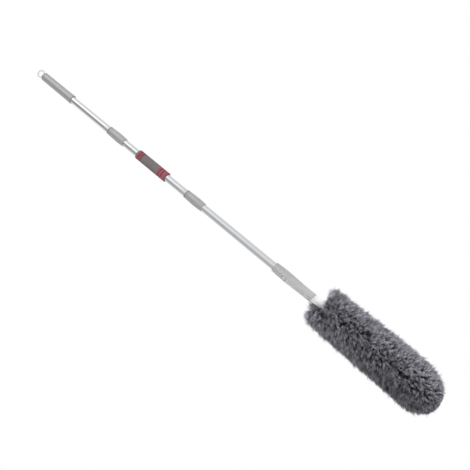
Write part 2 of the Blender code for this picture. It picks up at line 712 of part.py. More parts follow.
def head_neck():
    """The white neck, with the key that shows in the socket's slot and a slot for the strip."""
    neck = add("head_neck", neck_mesh(), "head_base", MOUTH_DROP - NECK_PLUG_LENGTH, white_plastic)
    key_top = SOCKET_MOUTH_DIAMETER / 2 - KEY_INSET
    key_root = NECK_PLUG_BORE / 2 + (NECK_PLUG_RADIUS - NECK_PLUG_BORE / 2) / 2
    slack = (KEY_SLOT_WIDTH - KEY_WIDTH) / 2
    key_length = KEY_SLOT_LENGTH - slack + SEAT_GAP + NECK_COLLAR_HEIGHT / 2
    key_middle = MOUTH_DROP + SEAT_GAP + NECK_COLLAR_HEIGHT / 2 - key_length / 2
    key_mesh = stadium("neck_key", key_length, KEY_WIDTH, key_root, key_top)
    key = add("neck_key", key_mesh, "head_base", key_middle, turn=FRONT_TURN)
    combine(neck, key, "UNION")
    seat = STRIP_SEAT_DEPTH + SEAT_GAP
    size = (STRIP_THICKNESS + 2 * SEAT_GAP, STRIP_WIDTH + 2 * SEAT_GAP, seat + OVERRUN)
    slot_mesh = block("strip_slot", size, (0, 0, (seat - OVERRUN) / 2))
    combine(neck, add("strip_slot", slot_mesh, "head_base", NECK_END))


def notch_floor_radius():
    return NECK_RADIUS + TIE_THICKNESS + 2 * SEAT_GAP


def sleeve_tie():
    """The tie that draws the sleeve's hem in round the neck, at the bottom of the notch."""
    inner = NECK_RADIUS + SEAT_GAP
    outer = inner + TIE_THICKNESS
    mesh = tube_mesh("sleeve_tie", outer, inner, TIE_HEIGHT)
    add("sleeve_tie", mesh, "head_base", PLUSH_DROP + PLUSH_NOTCH_DEPTH, white_plastic)


def strip_piece(node, body, start, end, gap=SEAT_GAP):
    """A length of the flat strip; its wide side faces along X, so that it bends about Y."""
    length = end - start - gap
    size = (STRIP_THICKNESS, STRIP_WIDTH, length)
    add(node, block(node, size, (0, 0, -length / 2)), body, start, aluminium)


def core_strip():
    near_start = NEAR_BEND_DROP - BEND_LENGTH / 2
    near_end = NEAR_BEND_DROP + BEND_LENGTH / 2
    far_start = FAR_BEND_DROP - BEND_LENGTH / 2
    far_end = FAR_BEND_DROP + BEND_LENGTH / 2
    strip_piece("core_strip_base", "head_base", STRIP_START, near_start)
    strip_piece("core_bend_near", "head_middle", near_start, near_end)
    strip_piece("core_strip_middle", "head_middle", near_end, far_start)
    strip_piece("core_bend_far", "head_tip", far_start, far_end)
    strip_piece("core_strip_tip", "head_tip", far_end, STRIP_END)


def core_tip_cap():
    """A soft boot over the strip's end, so that it can't cut through the sleeve."""
    wall = TIP_CAP_WALL + SEAT_GAP
    size = (STRIP_THICKNESS + 2 * wall, STRIP_WIDTH + 2 * wall, TIP_CAP_LENGTH)
    start = STRIP_END + TIP_CAP_CLOSED - TIP_CAP_LENGTH
    mesh = block("core_tip_cap", size, (0, 0, -TIP_CAP_LENGTH / 2), TIP_CAP_FILLET)
    cap = add("core_tip_cap", mesh, "head_tip", start, white_plastic)
    depth = TIP_CAP_LENGTH - TIP_CAP_CLOSED
    hollow = (STRIP_THICKNESS + 2 * SEAT_GAP, STRIP_WIDTH + 2 * SEAT_GAP, depth + OVERRUN)
    tool_mesh = block("tip_cap_slot", hollow, (0, 0, (OVERRUN - depth) / 2))
    combine(cap, add("tip_cap_slot", tool_mesh, "head_tip", start))


def plush_radius(depth):
    """The pile's outer radius: it swells from the near end and closes in a round tip."""
    near = PLUSH_NEAR_DIAMETER / 2
    full = PLUSH_FULL_DIAMETER / 2
    swell = min(1, depth / (PLUSH_LENGTH * PLUSH_SWELL_SHARE))
    radius = near + (full - near) * swell
    rounding = max(0, 1 - depth / PLUSH_NEAR_ROUNDING)
    radius -= PLUSH_NEAR_ROUNDING * (1 - math.sqrt(1 - rounding ** 2))
    closing = max(0, 1 - (PLUSH_LENGTH - depth) / PLUSH_TIP_ROUNDING)
    return radius * max(0, 1 - closing ** PLUSH_TIP_POWER) ** (1 / PLUSH_TIP_POWER)


def plush_depths(start, end):
    """Depths for an outline, closer together where the pile rounds over."""
    round_end = PLUSH_NEAR_ROUNDING
    tip_start = PLUSH_LENGTH - PLUSH_TIP_ROUNDING
    near = [round_end * (1 - math.cos(math.pi / 2 * k / NEAR_ROUNDING_STEPS)) for k in range(NEAR_ROUNDING_STEPS)]
    tip = [
        tip_start + PLUSH_TIP_ROUNDING * math.sin(math.pi / 2 * k / TIP_ROUNDING_STEPS)
        for k in range(TIP_ROUNDING_STEPS + 1)
    ]
    plain_start = max(start, round_end)
    plain_end = min(end, tip_start)
    plain = [plain_start + (plain_end - plain_start) * k / PLUSH_SPAN_STEPS for k in range(PLUSH_SPAN_STEPS + 1)]
    kept = [d for d in near if start <= d < plain_start] + plain
    return kept + [d for d in tip if plain_end < d <= end]


def plush_outline(start, end):
    return [(plush_radius(depth), depth) for depth in plush_depths(start, end)]


def plush_sleeves():
    """Three lengths of the plush sleeve, parted where the strip bends."""
    near = PLUSH_LENGTH * PLUSH_BEND_SHARES[0]
    far = PLUSH_LENGTH * PLUSH_BEND_SHARES[1]
    pocket = PLUSH_POCKET_DIAMETER / 2
    hem = notch_floor_radius()
    hem_end = PLUSH_NOTCH_DEPTH + TIE_HEIGHT + SEAT_GAP
    neck_seat = NECK_RADIUS + SEAT_GAP
    neck_end = NECK_END - PLUSH_DROP + SEAT_GAP
    base = plush_outline(0, near) + [
        (pocket, near), (pocket, neck_end), (neck_seat, neck_end), (neck_seat, hem_end),
        (hem, hem_end), (hem, PLUSH_NOTCH_DEPTH), (PLUSH_NOTCH_DIAMETER / 2, 0),
    ]
    middle_start = near + SEAT_GAP
    middle = plush_outline(middle_start, far) + [(pocket, far), (pocket, middle_start)]
    tip_start = far + SEAT_GAP
    pocket_end = STRIP_END - PLUSH_DROP + TIP_CAP_CLOSED + POCKET_END_GAP
    tip = [(0, pocket_end), (pocket, pocket_end), (pocket, tip_start)]
    tip += plush_outline(tip_start, PLUSH_LENGTH)[:-1] + [(0, PLUSH_LENGTH)]
    for node, body, outline in (
        ("plush_sleeve_base", "head_base", base),
        ("plush_sleeve_middle", "head_middle", middle),
        ("plush_sleeve_tip", "head_tip", tip),
    ):
        add(node, turned(node, outline, PLUSH_SIDES), body, PLUSH_DROP, grey_plush)


def clear_scene():
    for item in list(bpy.data.objects):
        bpy.data.objects.remove(item, do_unlink=True)


def body_axes():
    """One empty for each moving body, on its joint's axis."""
    axis_empty("hanger", 0)
    axis_empty("upper_section", CAP_DROP, "hanger")
    axis_empty("upper_seal", UPPER_PLUG_DROP, "upper_section")
    axis_empty("middle_section", UPPER_PLUG_DROP, "upper_seal")
    axis_empty("lower_seal", LOWER_PLUG_DROP, "middle_section")
    axis_empty("lower_section", LOWER_PLUG_DROP, "lower_seal")
    axis_empty("snap_button", CLIP_DROP, "lower_section", turn=FRONT_TURN)
    axis_empty("head_base", MOUTH_DROP, "lower_section")
    axis_empty("head_middle", NEAR_BEND_DROP, "head_base")
    axis_empty("head_tip", FAR_BEND_DROP, "head_middle")


def build():
    clear_scene()
    body_axes()
    hanging_ring()
    ring_retainer()
    end_cap()
    handle_grip()
    plain_tube("upper_tube", "upper_section", UPPER_TUBE_DROP + SEAT_GAP, UPPER_PLUG_DROP - SEAT_GAP)
    threaded_plug("upper_threaded_plug", "upper_section", UPPER_PLUG_DROP)
    gasket("upper_gasket", "upper_seal", UPPER_PLUG_DROP)
    coupler("upper_coupler", "middle_section", UPPER_PLUG_DROP)
    plain_tube("middle_tube", "middle_section", MIDDLE_TUBE_DROP, LOWER_PLUG_DROP - SEAT_GAP)
    foam_grip()
    threaded_plug("middle_threaded_plug", "middle_section", LOWER_PLUG_DROP)
    gasket("lower_gasket", "lower_seal", LOWER_PLUG_DROP)
    coupler("lower_coupler", "lower_section", LOWER_PLUG_DROP)
    lower_tube()
    head_socket()
    spring_clip()
    lock_button()
    head_neck()
    sleeve_tie()
    core_strip()
    core_tip_cap()
    plush_sleeves()


build()
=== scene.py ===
import math

import bpy
import numpy as np
from mathutils import Matrix, Vector


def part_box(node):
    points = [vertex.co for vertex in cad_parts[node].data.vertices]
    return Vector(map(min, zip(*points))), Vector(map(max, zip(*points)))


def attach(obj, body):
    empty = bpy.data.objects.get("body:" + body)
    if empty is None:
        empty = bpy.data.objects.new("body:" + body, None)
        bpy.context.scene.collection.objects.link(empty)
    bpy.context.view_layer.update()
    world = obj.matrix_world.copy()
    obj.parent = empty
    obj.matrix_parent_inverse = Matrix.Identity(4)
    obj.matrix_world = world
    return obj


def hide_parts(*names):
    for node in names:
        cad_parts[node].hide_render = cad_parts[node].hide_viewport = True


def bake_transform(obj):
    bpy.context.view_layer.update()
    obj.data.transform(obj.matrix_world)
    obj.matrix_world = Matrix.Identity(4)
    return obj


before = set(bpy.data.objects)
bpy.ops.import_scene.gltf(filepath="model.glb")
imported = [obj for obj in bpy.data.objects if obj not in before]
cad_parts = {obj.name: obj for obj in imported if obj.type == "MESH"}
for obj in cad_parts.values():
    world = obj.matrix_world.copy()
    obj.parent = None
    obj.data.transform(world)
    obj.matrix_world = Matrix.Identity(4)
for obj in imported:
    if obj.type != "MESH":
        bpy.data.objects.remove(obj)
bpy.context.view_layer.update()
mm = 0.001
print("frame loaded")


# Node trees

def feed(tree, socket, value):
    # Links another socket or sets a value; a colour may come without its alpha
    if isinstance(value, bpy.types.NodeSocket):
        tree.links.new(value, socket)
    elif socket.type == "RGBA" and len(value) == 3:
        socket.default_value = (*value, 1)
    else:
        socket.default_value = value


def feedAll(tree, node, inputs):
    for label, value in inputs.items():
        feed(tree, node.inputs[label], value)
    return node


def addNode(tree, kind, inputs):
    return feedAll(tree, tree.nodes.new("ShaderNode" + kind), inputs)


def mathNode(tree, operation, *values):
    node = tree.nodes.new("ShaderNodeMath")
    node.operation = operation
    return feedAll(tree, node, dict(enumerate(values))).outputs[0]


def varied(tree, noise, amount, base):
    # base + amount (noise - 0.5)
    return mathNode(tree, "MULTIPLY_ADD", mathNode(tree, "SUBTRACT", noise, 0.5), amount, base)


def noiseNode(tree, vector, scale, detail, roughness):
    inputs = {"Vector": vector, "Scale": scale, "Detail": detail, "Roughness": roughness}
    return addNode(tree, "TexNoise", inputs).outputs["Fac"]


def mixColours(tree, factor, a, b, blendType="MIX"):
    node = tree.nodes.new("ShaderNodeMix")
    node.data_type = "RGBA"
    node.blend_type = blendType
    return feedAll(tree, node, {"Factor": factor, "A": a, "B": b}).outputs["Result"]


def toned(tree, colour, tone):
    # The colour times the same tone in red, green and blue
    grey = addNode(tree, "CombineColor", {"Red": tone, "Green": tone, "Blue": tone})
    return mixColours(tree, 1.0, colour, grey.outputs["Color"], "MULTIPLY")


# Camera and room

view = {"distance": 1.650, "height": -1.358, "side": -0.00195, "tilt": 20.0, "roll": -50.4,
        "focalPixels": 720.0, "imagePixels": 470.0, "sensor": 36.0}
room = {"fill": 0.56, "lowBand": 0.30, "highBand": 0.60, "coolness": 1.01,
        "floorDrop": 0.36, "floorSize": 2.4, "floorTone": 0.9, "floorRoughness": 0.9}
suns = {"key": {"strength": 1.2, "turn": 38.0, "rise": 34.0, "spread": 24.0},
        "rim": {"strength": 0.15, "turn": -115.0, "rise": 8.0, "spread": 40.0}}
panels = {"side": {"power": 1.3, "size": 0.5, "spread": 28.0, "place": (0.95, -0.25, -1.20),
                   "aim": (0, 0, -1.30)},
          "front": {"power": 1.5, "size": 0.5, "spread": 180.0, "place": (-0.75, -0.85, -0.75),
                    "aim": (0, 0, -0.92)},
          "near": {"power": 0.085, "size": 0.2, "spread": 20.0, "place": (-0.85, -0.60, -1.02),
                   "aim": (0, 0, -1.01)}}
# What polished surfaces mirror: bearing in degrees, brightness high up, brightness lower down
reflections = [(-180, 0.92, 0.85), (-112, 0.72, 0.64), (-78, 0.58, 0.50), (-52, 0.18, 0.44),
               (-30, 0.22, 0.57), (-6, 0.78, 0.70), (14, 1.3, 0.78), (34, 1.45, 0.80),
               (52, 0.84, 0.70), (72, 0.72, 0.68), (112, 0.78, 0.72), (180, 0.92, 0.85)]


def makeCamera():
    tilt, roll = math.radians(view["tilt"]), math.radians(view["roll"])
    ahead = Vector((0, math.cos(tilt), math.sin(tilt)))
    level = Vector((1, 0, 0))
    above = Vector((0, -math.sin(tilt), math.cos(tilt)))
    right = math.cos(roll) * level + math.sin(roll) * above
    up = math.cos(roll) * above - math.sin(roll) * level
    data = bpy.data.cameras.new("camera")
    data.sensor_fit = "HORIZONTAL"
    data.sensor_width = view["sensor"]
    data.lens = view["focalPixels"] / view["imagePixels"] * view["sensor"]
    camera = bpy.data.objects.new("camera", data)
    place = Matrix((right, up, -ahead)).transposed().to_4x4()
    place.translation = (view["side"], -view["distance"], view["height"])
    camera.matrix_world = place
    bpy.context.collection.objects.link(camera)
    bpy.context.scene.camera = camera


def hangLamp(data, place, source):
    # The lamp shines away from source, and no polished surface mirrors it
    lamp = bpy.data.objects.new(data.name, data)
    lamp.visible_glossy = False
    lamp.matrix_world = Matrix.Translation(place) @ source.to_track_quat("Z", "Y").to_matrix().to_4x4()
    bpy.context.collection.objects.link(lamp)


def makeSun(name, strength, turn, rise, spread):
    data = bpy.data.lights.new(name, "SUN")
    data.energy = strength
    data.angle = math.radians(spread)
    turn, rise = math.radians(turn), math.radians(rise)
    source = Vector((math.sin(turn) * math.cos(rise), -math.cos(turn) * math.cos(rise), math.sin(rise)))
    hangLamp(data, (0, 0, 0), source)


def makePanel(name, power, size, spread, place, aim):
    data = bpy.data.lights.new(name, "AREA")
    data.energy = power
    data.size = size
    data.spread = math.radians(spread)
    hangLamp(data, place, Vector(place) - Vector(aim))


def bandRamp(tree, column, bearing):
    # One brightness column of the reflections; the bearing runs from 0 at -180 degrees to 1 at 180
    ramp = addNode(tree, "ValToRGB", {"Fac": bearing})
    stops = ramp.color_ramp.elements
    while len(stops) > 1:
        stops.remove(stops[-1])
    for index, row in enumerate(reflections):
        place, level = (row[0] + 180) / 360, row[column]
        stop = stops[0] if index == 0 else stops.new(place)
        stop.position = place
        stop.color = (level, level, level * room["coolness"], 1)
    return ramp.outputs["Color"]


def makeWorld():
    # White for the camera and through clear plastic, bands of light for polished surfaces, else grey
    world = bpy.data.worlds.new("studio")
    bpy.context.scene.world = world
    world.use_nodes = True
    tree = world.node_tree
    tree.nodes.clear()
    ray = tree.nodes.new("ShaderNodeLightPath").outputs
    place = tree.nodes.new("ShaderNodeTexCoord").outputs["Generated"]
    turned = addNode(tree, "Mapping", {"Vector": place, "Rotation": (0, 0, math.radians(90))})
    gradient = addNode(tree, "TexGradient", {"Vector": turned.outputs["Vector"]})
    gradient.gradient_type = "RADIAL"
    bearing = gradient.outputs["Fac"]
    height = addNode(tree, "SeparateXYZ", {0: place}).outputs["Z"]
    rise = addNode(tree, "MapRange", {"Value": height, "From Min": room["lowBand"],
                                      "From Max": room["highBand"]})
    rise.interpolation_type = "SMOOTHSTEP"
    lowBands, highBands = bandRamp(tree, 2, bearing), bandRamp(tree, 1, bearing)
    banded = mixColours(tree, rise.outputs["Result"], lowBands, highBands)
    polished = mixColours(tree, ray["Is Glossy Ray"], (room["fill"],) * 3, banded)
    seen = mathNode(tree, "MAXIMUM", ray["Is Camera Ray"], ray["Is Transmission Ray"])
    light = addNode(tree, "Background", {"Color": mixColours(tree, seen, polished, (1, 1, 1))})
    out = tree.nodes.new("ShaderNodeOutputWorld")
    tree.links.new(light.outputs["Background"], out.inputs["Surface"])


bpy.context.scene.view_settings.view_transform = "Standard"
makeCamera()
for name, lamp in suns.items():
    makeSun(name, **lamp)
for name, lamp in panels.items():
    makePanel(name, **lamp)
makeWorld()
print("camera and light")


# Node groups shared by the finishes

def newGroup(name, inputs):
    # A group with a Vector input and the named ones: a colour where the default is a tuple, else a number
    group = bpy.data.node_groups.new(name, "ShaderNodeTree")
    group.interface.new_socket("Vector", in_out="INPUT", socket_type="NodeSocketVector")
    for label, value in inputs.items():
        kind = "NodeSocketColor" if isinstance(value, tuple) else "NodeSocketFloat"
        group.interface.new_socket(label, in_out="INPUT", socket_type=kind).default_value = value
    return group, group.nodes.new("NodeGroupInput").outputs


def closeGroup(group, results):
    for label in results:
        kind = "NodeSocketColor" if label == "Colour" else "NodeSocketFloat"
        group.interface.new_socket(label, in_out="OUTPUT", socket_type=kind)
    feedAll(group, group.nodes.new("NodeGroupOutput"), results)
    return group


grainTone = {"slow": (38.0, 3.0, 0.55), "scuff": (210.0, 4.0, 0.7), "fine": (3.0, 0.6), "rubbed": 0.05}
metalTone = {"lines": (1700.0, 3.0, 0.7), "cloud": (55.0, 3.0, 0.6), "tone": 0.10, "clouded": 0.12,
             "lined": 0.16}
foamTone = {"slow": (160.0, 4.0, 0.65), "poreScale": 1.6, "poreTop": 0.8, "poreEase": 0.2, "poreShade": 0.35,
            "base": 0.78, "worn": 0.3, "gloss": 0.1, "baseGloss": 0.84, "slowHeight": 0.6}
yarnTone = {"fibre": (900.0, 3.0, 0.65), "climb": 5.6, "tuft": 1.95, "fleck": 0.5}


def mouldedGrain():
    # Fine moulded skin: a fine noise makes the height, a slow one and scuffs make the tone
    inputs = {"Colour": (0.5, 0.5, 0.5, 1), "Grain": 2500.0, "Unevenness": 0.05, "Roughness": 0.45}
    group, given = newGroup("mouldedGrain", inputs)
    slow = noiseNode(group, given["Vector"], *grainTone["slow"])
    scuff = noiseNode(group, given["Vector"], *grainTone["scuff"])
    fine = noiseNode(group, given["Vector"], given["Grain"], *grainTone["fine"])
    tone = varied(group, scuff, grainTone["rubbed"], varied(group, slow, given["Unevenness"], 1.0))
    return closeGroup(group, {"Colour": toned(group, given["Colour"], tone),
                              "Roughness": varied(group, scuff, grainTone["rubbed"], given["Roughness"]),
                              "Height": fine})


def drawnMetal():
    # Drawing lines along the tube: noise drawn out along Z drives tone, gloss and height
    inputs = {"Colour": (0.8, 0.8, 0.8, 1), "Roughness": 0.25, "Stretch": 0.012}
    group, given = newGroup("drawnMetal", inputs)
    parts = addNode(group, "SeparateXYZ", {0: given["Vector"]}).outputs
    along = mathNode(group, "MULTIPLY", parts["Z"], given["Stretch"])
    joined = addNode(group, "CombineXYZ", {"X": parts["X"], "Y": parts["Y"], "Z": along})
    lines = noiseNode(group, joined.outputs[0], *metalTone["lines"])
    cloud = noiseNode(group, given["Vector"], *metalTone["cloud"])
    uneven = varied(group, cloud, metalTone["clouded"], given["Roughness"])
    tone = varied(group, lines, metalTone["tone"], 1.0)
    return closeGroup(group, {"Colour": toned(group, given["Colour"], tone),
                              "Roughness": varied(group, lines, metalTone["lined"], uneven),
                              "Height": lines})


def foamCells():
    # Closed-cell foam: small Voronoi cells for the pores, each darkened towards its middle as painted shade
    # in the hollow, a slow noise for its worn tone
    group, given = newGroup("foamCells", {"Colour": (0.2, 0.2, 0.2, 1), "Cells": 1500.0})
    cells = addNode(group, "TexVoronoi", {"Vector": given["Vector"], "Scale": given["Cells"]})
    slow = noiseNode(group, given["Vector"], *foamTone["slow"])
    wide = mathNode(group, "MULTIPLY", cells.outputs["Distance"], foamTone["poreScale"])
    pore = mathNode(group, "SMOOTH_MIN", wide, foamTone["poreTop"], foamTone["poreEase"])
    # Painted shade: the tone drops in the middle of each pore, where the bump makes a hollow
    tone = mathNode(group, "MULTIPLY_ADD", pore, foamTone["poreShade"], foamTone["base"])
    uneven = mathNode(group, "MULTIPLY", slow, foamTone["slowHeight"])
    return closeGroup(group, {
        "Colour": toned(group, given["Colour"], varied(group, slow, foamTone["worn"], tone)),
        "Roughness": mathNode(group, "MULTIPLY_ADD", slow, foamTone["gloss"], foamTone["baseGloss"]),
        "Height": mathNode(group, "ADD", pore, uneven)})


def yarnShade():
    # Yarn tone: dark at the root, paler and cooler to the tip, partly the yarn's own colour and partly
    # painted shade deep in the pile; each tuft a little lighter or darker, at random and where painted
    # light lifts it
    group, given = newGroup("yarnShade", {"Along": 0.5, "TuftToneAndLight": 0.5, "ShadedRoot": (0.03, 0.03, 0.03, 1),
                                          "Tip": (0.3, 0.3, 0.3, 1)})
    climb = mathNode(group, "POWER", given["Along"], yarnTone["climb"])
    colour = mixColours(group, climb, given["ShadedRoot"], given["Tip"])
    fibre = noiseNode(group, given["Vector"], *yarnTone["fibre"])
    lift = mathNode(group, "MULTIPLY", given["TuftToneAndLight"], yarnTone["tuft"])
    fleck = varied(group, fibre, yarnTone["fleck"], lift)
    return closeGroup(group, {"Colour": toned(group, colour, fleck), "Height": fibre})


# Finishes

def newFinish(name, group, values, bump, surface):
    # A value that is a word reads the mesh attribute of that name
    material = bpy.data.materials.new(name)
    material.use_nodes = True
    tree = material.node_tree
    shader = feedAll(tree, tree.nodes["Principled BSDF"], surface)
    effect = tree.nodes.new("ShaderNodeGroup")
    effect.node_tree = group
    feed(tree, effect.inputs["Vector"], tree.nodes.new("ShaderNodeTexCoord").outputs["Object"])
    for label, value in values.items():
        if isinstance(value, str):
            reader = tree.nodes.new("ShaderNodeAttribute")
            reader.attribute_name = value
            value = reader.outputs["Fac"]
        feed(tree, effect.inputs[label], value)
    feed(tree, shader.inputs["Base Color"], effect.outputs["Colour"])
    if "Roughness" in effect.outputs:
        feed(tree, shader.inputs["Roughness"], effect.outputs["Roughness"])
    relief = addNode(tree, "Bump", {"Strength": bump[0], "Distance": bump[1],
                                    "Height": effect.outputs["Height"]})
    feed(tree, shader.inputs["Normal"], relief.outputs["Normal"])
    return material


def milkyRow(whiteness, clearness, glow):
    # clearness lets the background through, glow spreads the light inside the piece
    values = {"Colour": (whiteness,) * 3, "Grain": 1800.0, "Unevenness": 0.04, "Roughness": 0.32}
    surface = {"Transmission Weight": clearness, "Subsurface Weight": glow, "Subsurface Scale": 0.03,
               "Subsurface Radius": (1, 1, 1), "Specular IOR Level": 0.3}
    return grain, values, (0.05, 0.0001), surface


grain, metal, foam, yarn = mouldedGrain(), drawnMetal(), foamCells(), yarnShade()
# Each row: group, the group's values, strength and distance of the bump, the surface's own values
finishRows = {
    "greyPlastic": (grain, {"Colour": (0.375,) * 3, "Grain": 2600.0, "Unevenness": 0.08, "Roughness": 0.24},
                    (0.005, 0.0001), {"IOR": 1.9, "Specular IOR Level": 0.95}),
    # Two copies of one white plastic: the lighter one, on the ring and the button, is painted light so the
    # button shows bright though it faces away from the lamps; the milky one is held darker so the lamp-lit
    # neck stays below white, painted shade
    "milkyPlastic": milkyRow(0.77, 0.05, 0.95),
    "paintedLightWhitePlastic": milkyRow(0.97, 0.12, 0.6),
    "polishedSteel": (metal, {"Colour": (0.86, 0.865, 0.88), "Roughness": 0.2, "Stretch": 0.012},
                      (0.06, 0.00002), {"Metallic": 1.0}),
    "springSteel": (metal, {"Colour": (0.5, 0.51, 0.53), "Roughness": 0.32, "Stretch": 0.05},
                    (0.15, 0.00005), {"Metallic": 1.0}),
    "dullAluminium": (metal, {"Colour": (0.7, 0.7, 0.71), "Roughness": 0.42, "Stretch": 0.03},
                      (0.2, 0.00006), {"Metallic": 1.0}),
    "sealRubber": (grain, {"Colour": (0.33,) * 3, "Grain": 3000.0, "Unevenness": 0.2, "Roughness": 0.7},
                   (0.15, 0.0002), {}),
    "gripFoam": (foam, {"Colour": (0.215, 0.192, 0.192), "Cells": 1700.0},
                 (0.5, 0.0003), {"Specular IOR Level": 0.25}),
    "redFoam": (foam, {"Colour": (0.37, 0.112, 0.135), "Cells": 1700.0},
                (0.4, 0.0003), {"Specular IOR Level": 0.25}),
    # The yarn's near-black root and the backing's dark tone are partly the yarn's own colour, partly
    # painted shade deep in the pile
    "plushYarn": (yarn, {"ShadedRoot": (0.010, 0.011, 0.016), "Tip": (0.475, 0.471, 0.527),
                         "Along": "along", "TuftToneAndLight": "tuft"},
                  (0.3, 0.0004), {"Roughness": 0.95, "Specular IOR Level": 0.15, "Sheen Weight": 0.25,
                                  "Sheen Roughness": 0.5}),
    "sleeveCloth": (yarn, {"ShadedRoot": (0.022, 0.021, 0.025), "Tip": (0.1, 0.095, 0.105),
                           "Along": 0.3, "TuftToneAndLight": 0.4},
                    (0.6, 0.0008), {"Roughness": 1.0, "Specular IOR Level": 0.1})}
finishes = {name: newFinish(name, *row) for name, row in finishRows.items()}
print("finishes")


# Values that several pieces share: roundings, clearances, the button's side

fineEdge, slightEdge, softEdge, roundEdge = 0.2 * mm, 0.3 * mm, 0.4 * mm, 0.8 * mm
seatGap = 0.25 * mm
axisRadius = 0.02 * mm
cutInside, cutOutside = 4.0 * mm, 3.0 * mm
skinDepth = 1.0 * mm
buttonTurn = math.radians(-127)
sharpAngle = math.radians(38)


# Shapes from whole arrays

def putMesh(name, points, faces, finish, sharpEdges=True):
    # points is (n, 3); faces is (m, k) with one k for all, so a list of arrays makes mixed faces
    groups = faces if isinstance(faces, list) else [faces]
    corners = np.concatenate([group.ravel() for group in groups]).astype(np.int32)
    sizes = np.concatenate([np.full(len(group), group.shape[1]) for group in groups]).astype(np.int32)
    starts = np.concatenate([[0], np.cumsum(sizes)[:-1]]).astype(np.int32)
    mesh = bpy.data.meshes.new(name)
    mesh.vertices.add(len(points))
    mesh.vertices.foreach_set("co", points.astype(np.float32).ravel())
    mesh.loops.add(len(corners))
    mesh.loops.foreach_set("vertex_index", corners)
    mesh.polygons.add(len(sizes))
    mesh.polygons.foreach_set("loop_start", starts)
    mesh.update(calc_edges=True)
    mesh.validate()
    mesh.materials.append(finishes[finish])
    mesh.shade_smooth()
    if sharpEdges:
        mesh.set_sharp_from_angle(angle=sharpAngle)
    piece = bpy.data.objects.new(name, mesh)
    bpy.context.collection.objects.link(piece)
    return piece


def gridFaces(rows, columns, closedRows=False):
    # Quads of a grid whose columns close on themselves; row after row, or back to the first row too
    last = rows if closedRows else rows - 1
    row = np.arange(last)[:, None]
    column = np.arange(columns)[None, :]
    nextRow, nextColumn = (row + 1) % rows, (column + 1) % columns
    quads = [row * columns + column, nextRow * columns + column,
             nextRow * columns + nextColumn, row * columns + nextColumn]
    return np.stack([np.broadcast_to(q, (last, columns)) for q in quads], axis=-1).reshape(-1, 4)


def endFan(ring, centre, outward):
    # Triangles from a closed ring of point numbers to one centre point
    following = np.roll(ring, -1)
    pair = [ring, following] if outward else [following, ring]
    return np.stack([*pair, np.full(len(ring), centre)], axis=-1)


def roundedOutline(corners, steps, spacing):
    # Each corner (radius, drop, fillet) becomes a quadratic from side to side, close to the tangent arc;
    # a fillet takes up to 0.48 of a side
    points = []
    count = len(corners)
    for index, (radius, drop, fillet) in enumerate(corners):
        here = np.array([radius, drop])
        if fillet <= 0:
            points.append(here[None])
            continue
        before = np.array(corners[index - 1][:2]) - here
        after = np.array(corners[(index + 1) % count][:2]) - here
        lengthIn, lengthOut = np.linalg.norm(before), np.linalg.norm(after)
        before, after = before / lengthIn, after / lengthOut
        half = math.acos(np.clip(before @ after, -1, 1)) / 2
        tangent = min(fillet / math.tan(half), 0.48 * min(lengthIn, lengthOut))
        share = np.linspace(0, 1, steps + 1)[:, None]
        a, b = here + before * tangent, here + after * tangent
        points.append((1 - share) ** 2 * a + 2 * share * (1 - share) * here + share ** 2 * b)
    outline = np.concatenate(points)
    return finer(outline, spacing) if spacing else outline


def finer(outline, spacing):
    # Adds points so that no step along the closed outline is longer than spacing
    ends = np.roll(outline, -1, axis=0)
    counts = np.maximum(1, np.ceil(np.linalg.norm(ends - outline, axis=1) / spacing)).astype(int)
    which = np.repeat(np.arange(len(outline)), counts)
    step = np.arange(counts.sum()) - np.repeat(np.cumsum(counts) - counts, counts)
    share = (step / counts[which])[:, None]
    return outline[which] * (1 - share) + ends[which] * share


def turnedPiece(name, corners, top, finish, sides=96, steps=5, spacing=None, detail=None):
    # The closed outline swept once round the pole: x = r cos a, y = r sin a, z = top - drop
    outline = roundedOutline(corners, steps, spacing)
    radius = np.repeat(outline[:, :1], sides, axis=1)
    drop = np.repeat(outline[:, 1:], sides, axis=1)
    angle = np.broadcast_to(np.linspace(0, 2 * np.pi, sides, endpoint=False), radius.shape)
    if detail is not None:
        radius, drop = detail(radius, drop, angle)
    points = np.stack([radius * np.cos(angle), radius * np.sin(angle), top - drop], axis=-1)
    return putMesh(name, points.reshape(-1, 3), gridFaces(len(outline), sides, closedRows=True), finish)


def cutWith(piece, tool, operation="DIFFERENCE"):
    change = piece.modifiers.new("cut", "BOOLEAN")
    change.operation = operation
    change.object = tool
    change.solver = "EXACT"
    bpy.context.view_layer.update()
    ready = piece.evaluated_get(bpy.context.evaluated_depsgraph_get())
    mesh = bpy.data.meshes.new_from_object(ready)
    piece.modifiers.clear()
    piece.data = mesh
    mesh.shade_smooth()
    mesh.set_sharp_from_angle(angle=sharpAngle)
    bpy.data.objects.remove(tool, do_unlink=True)


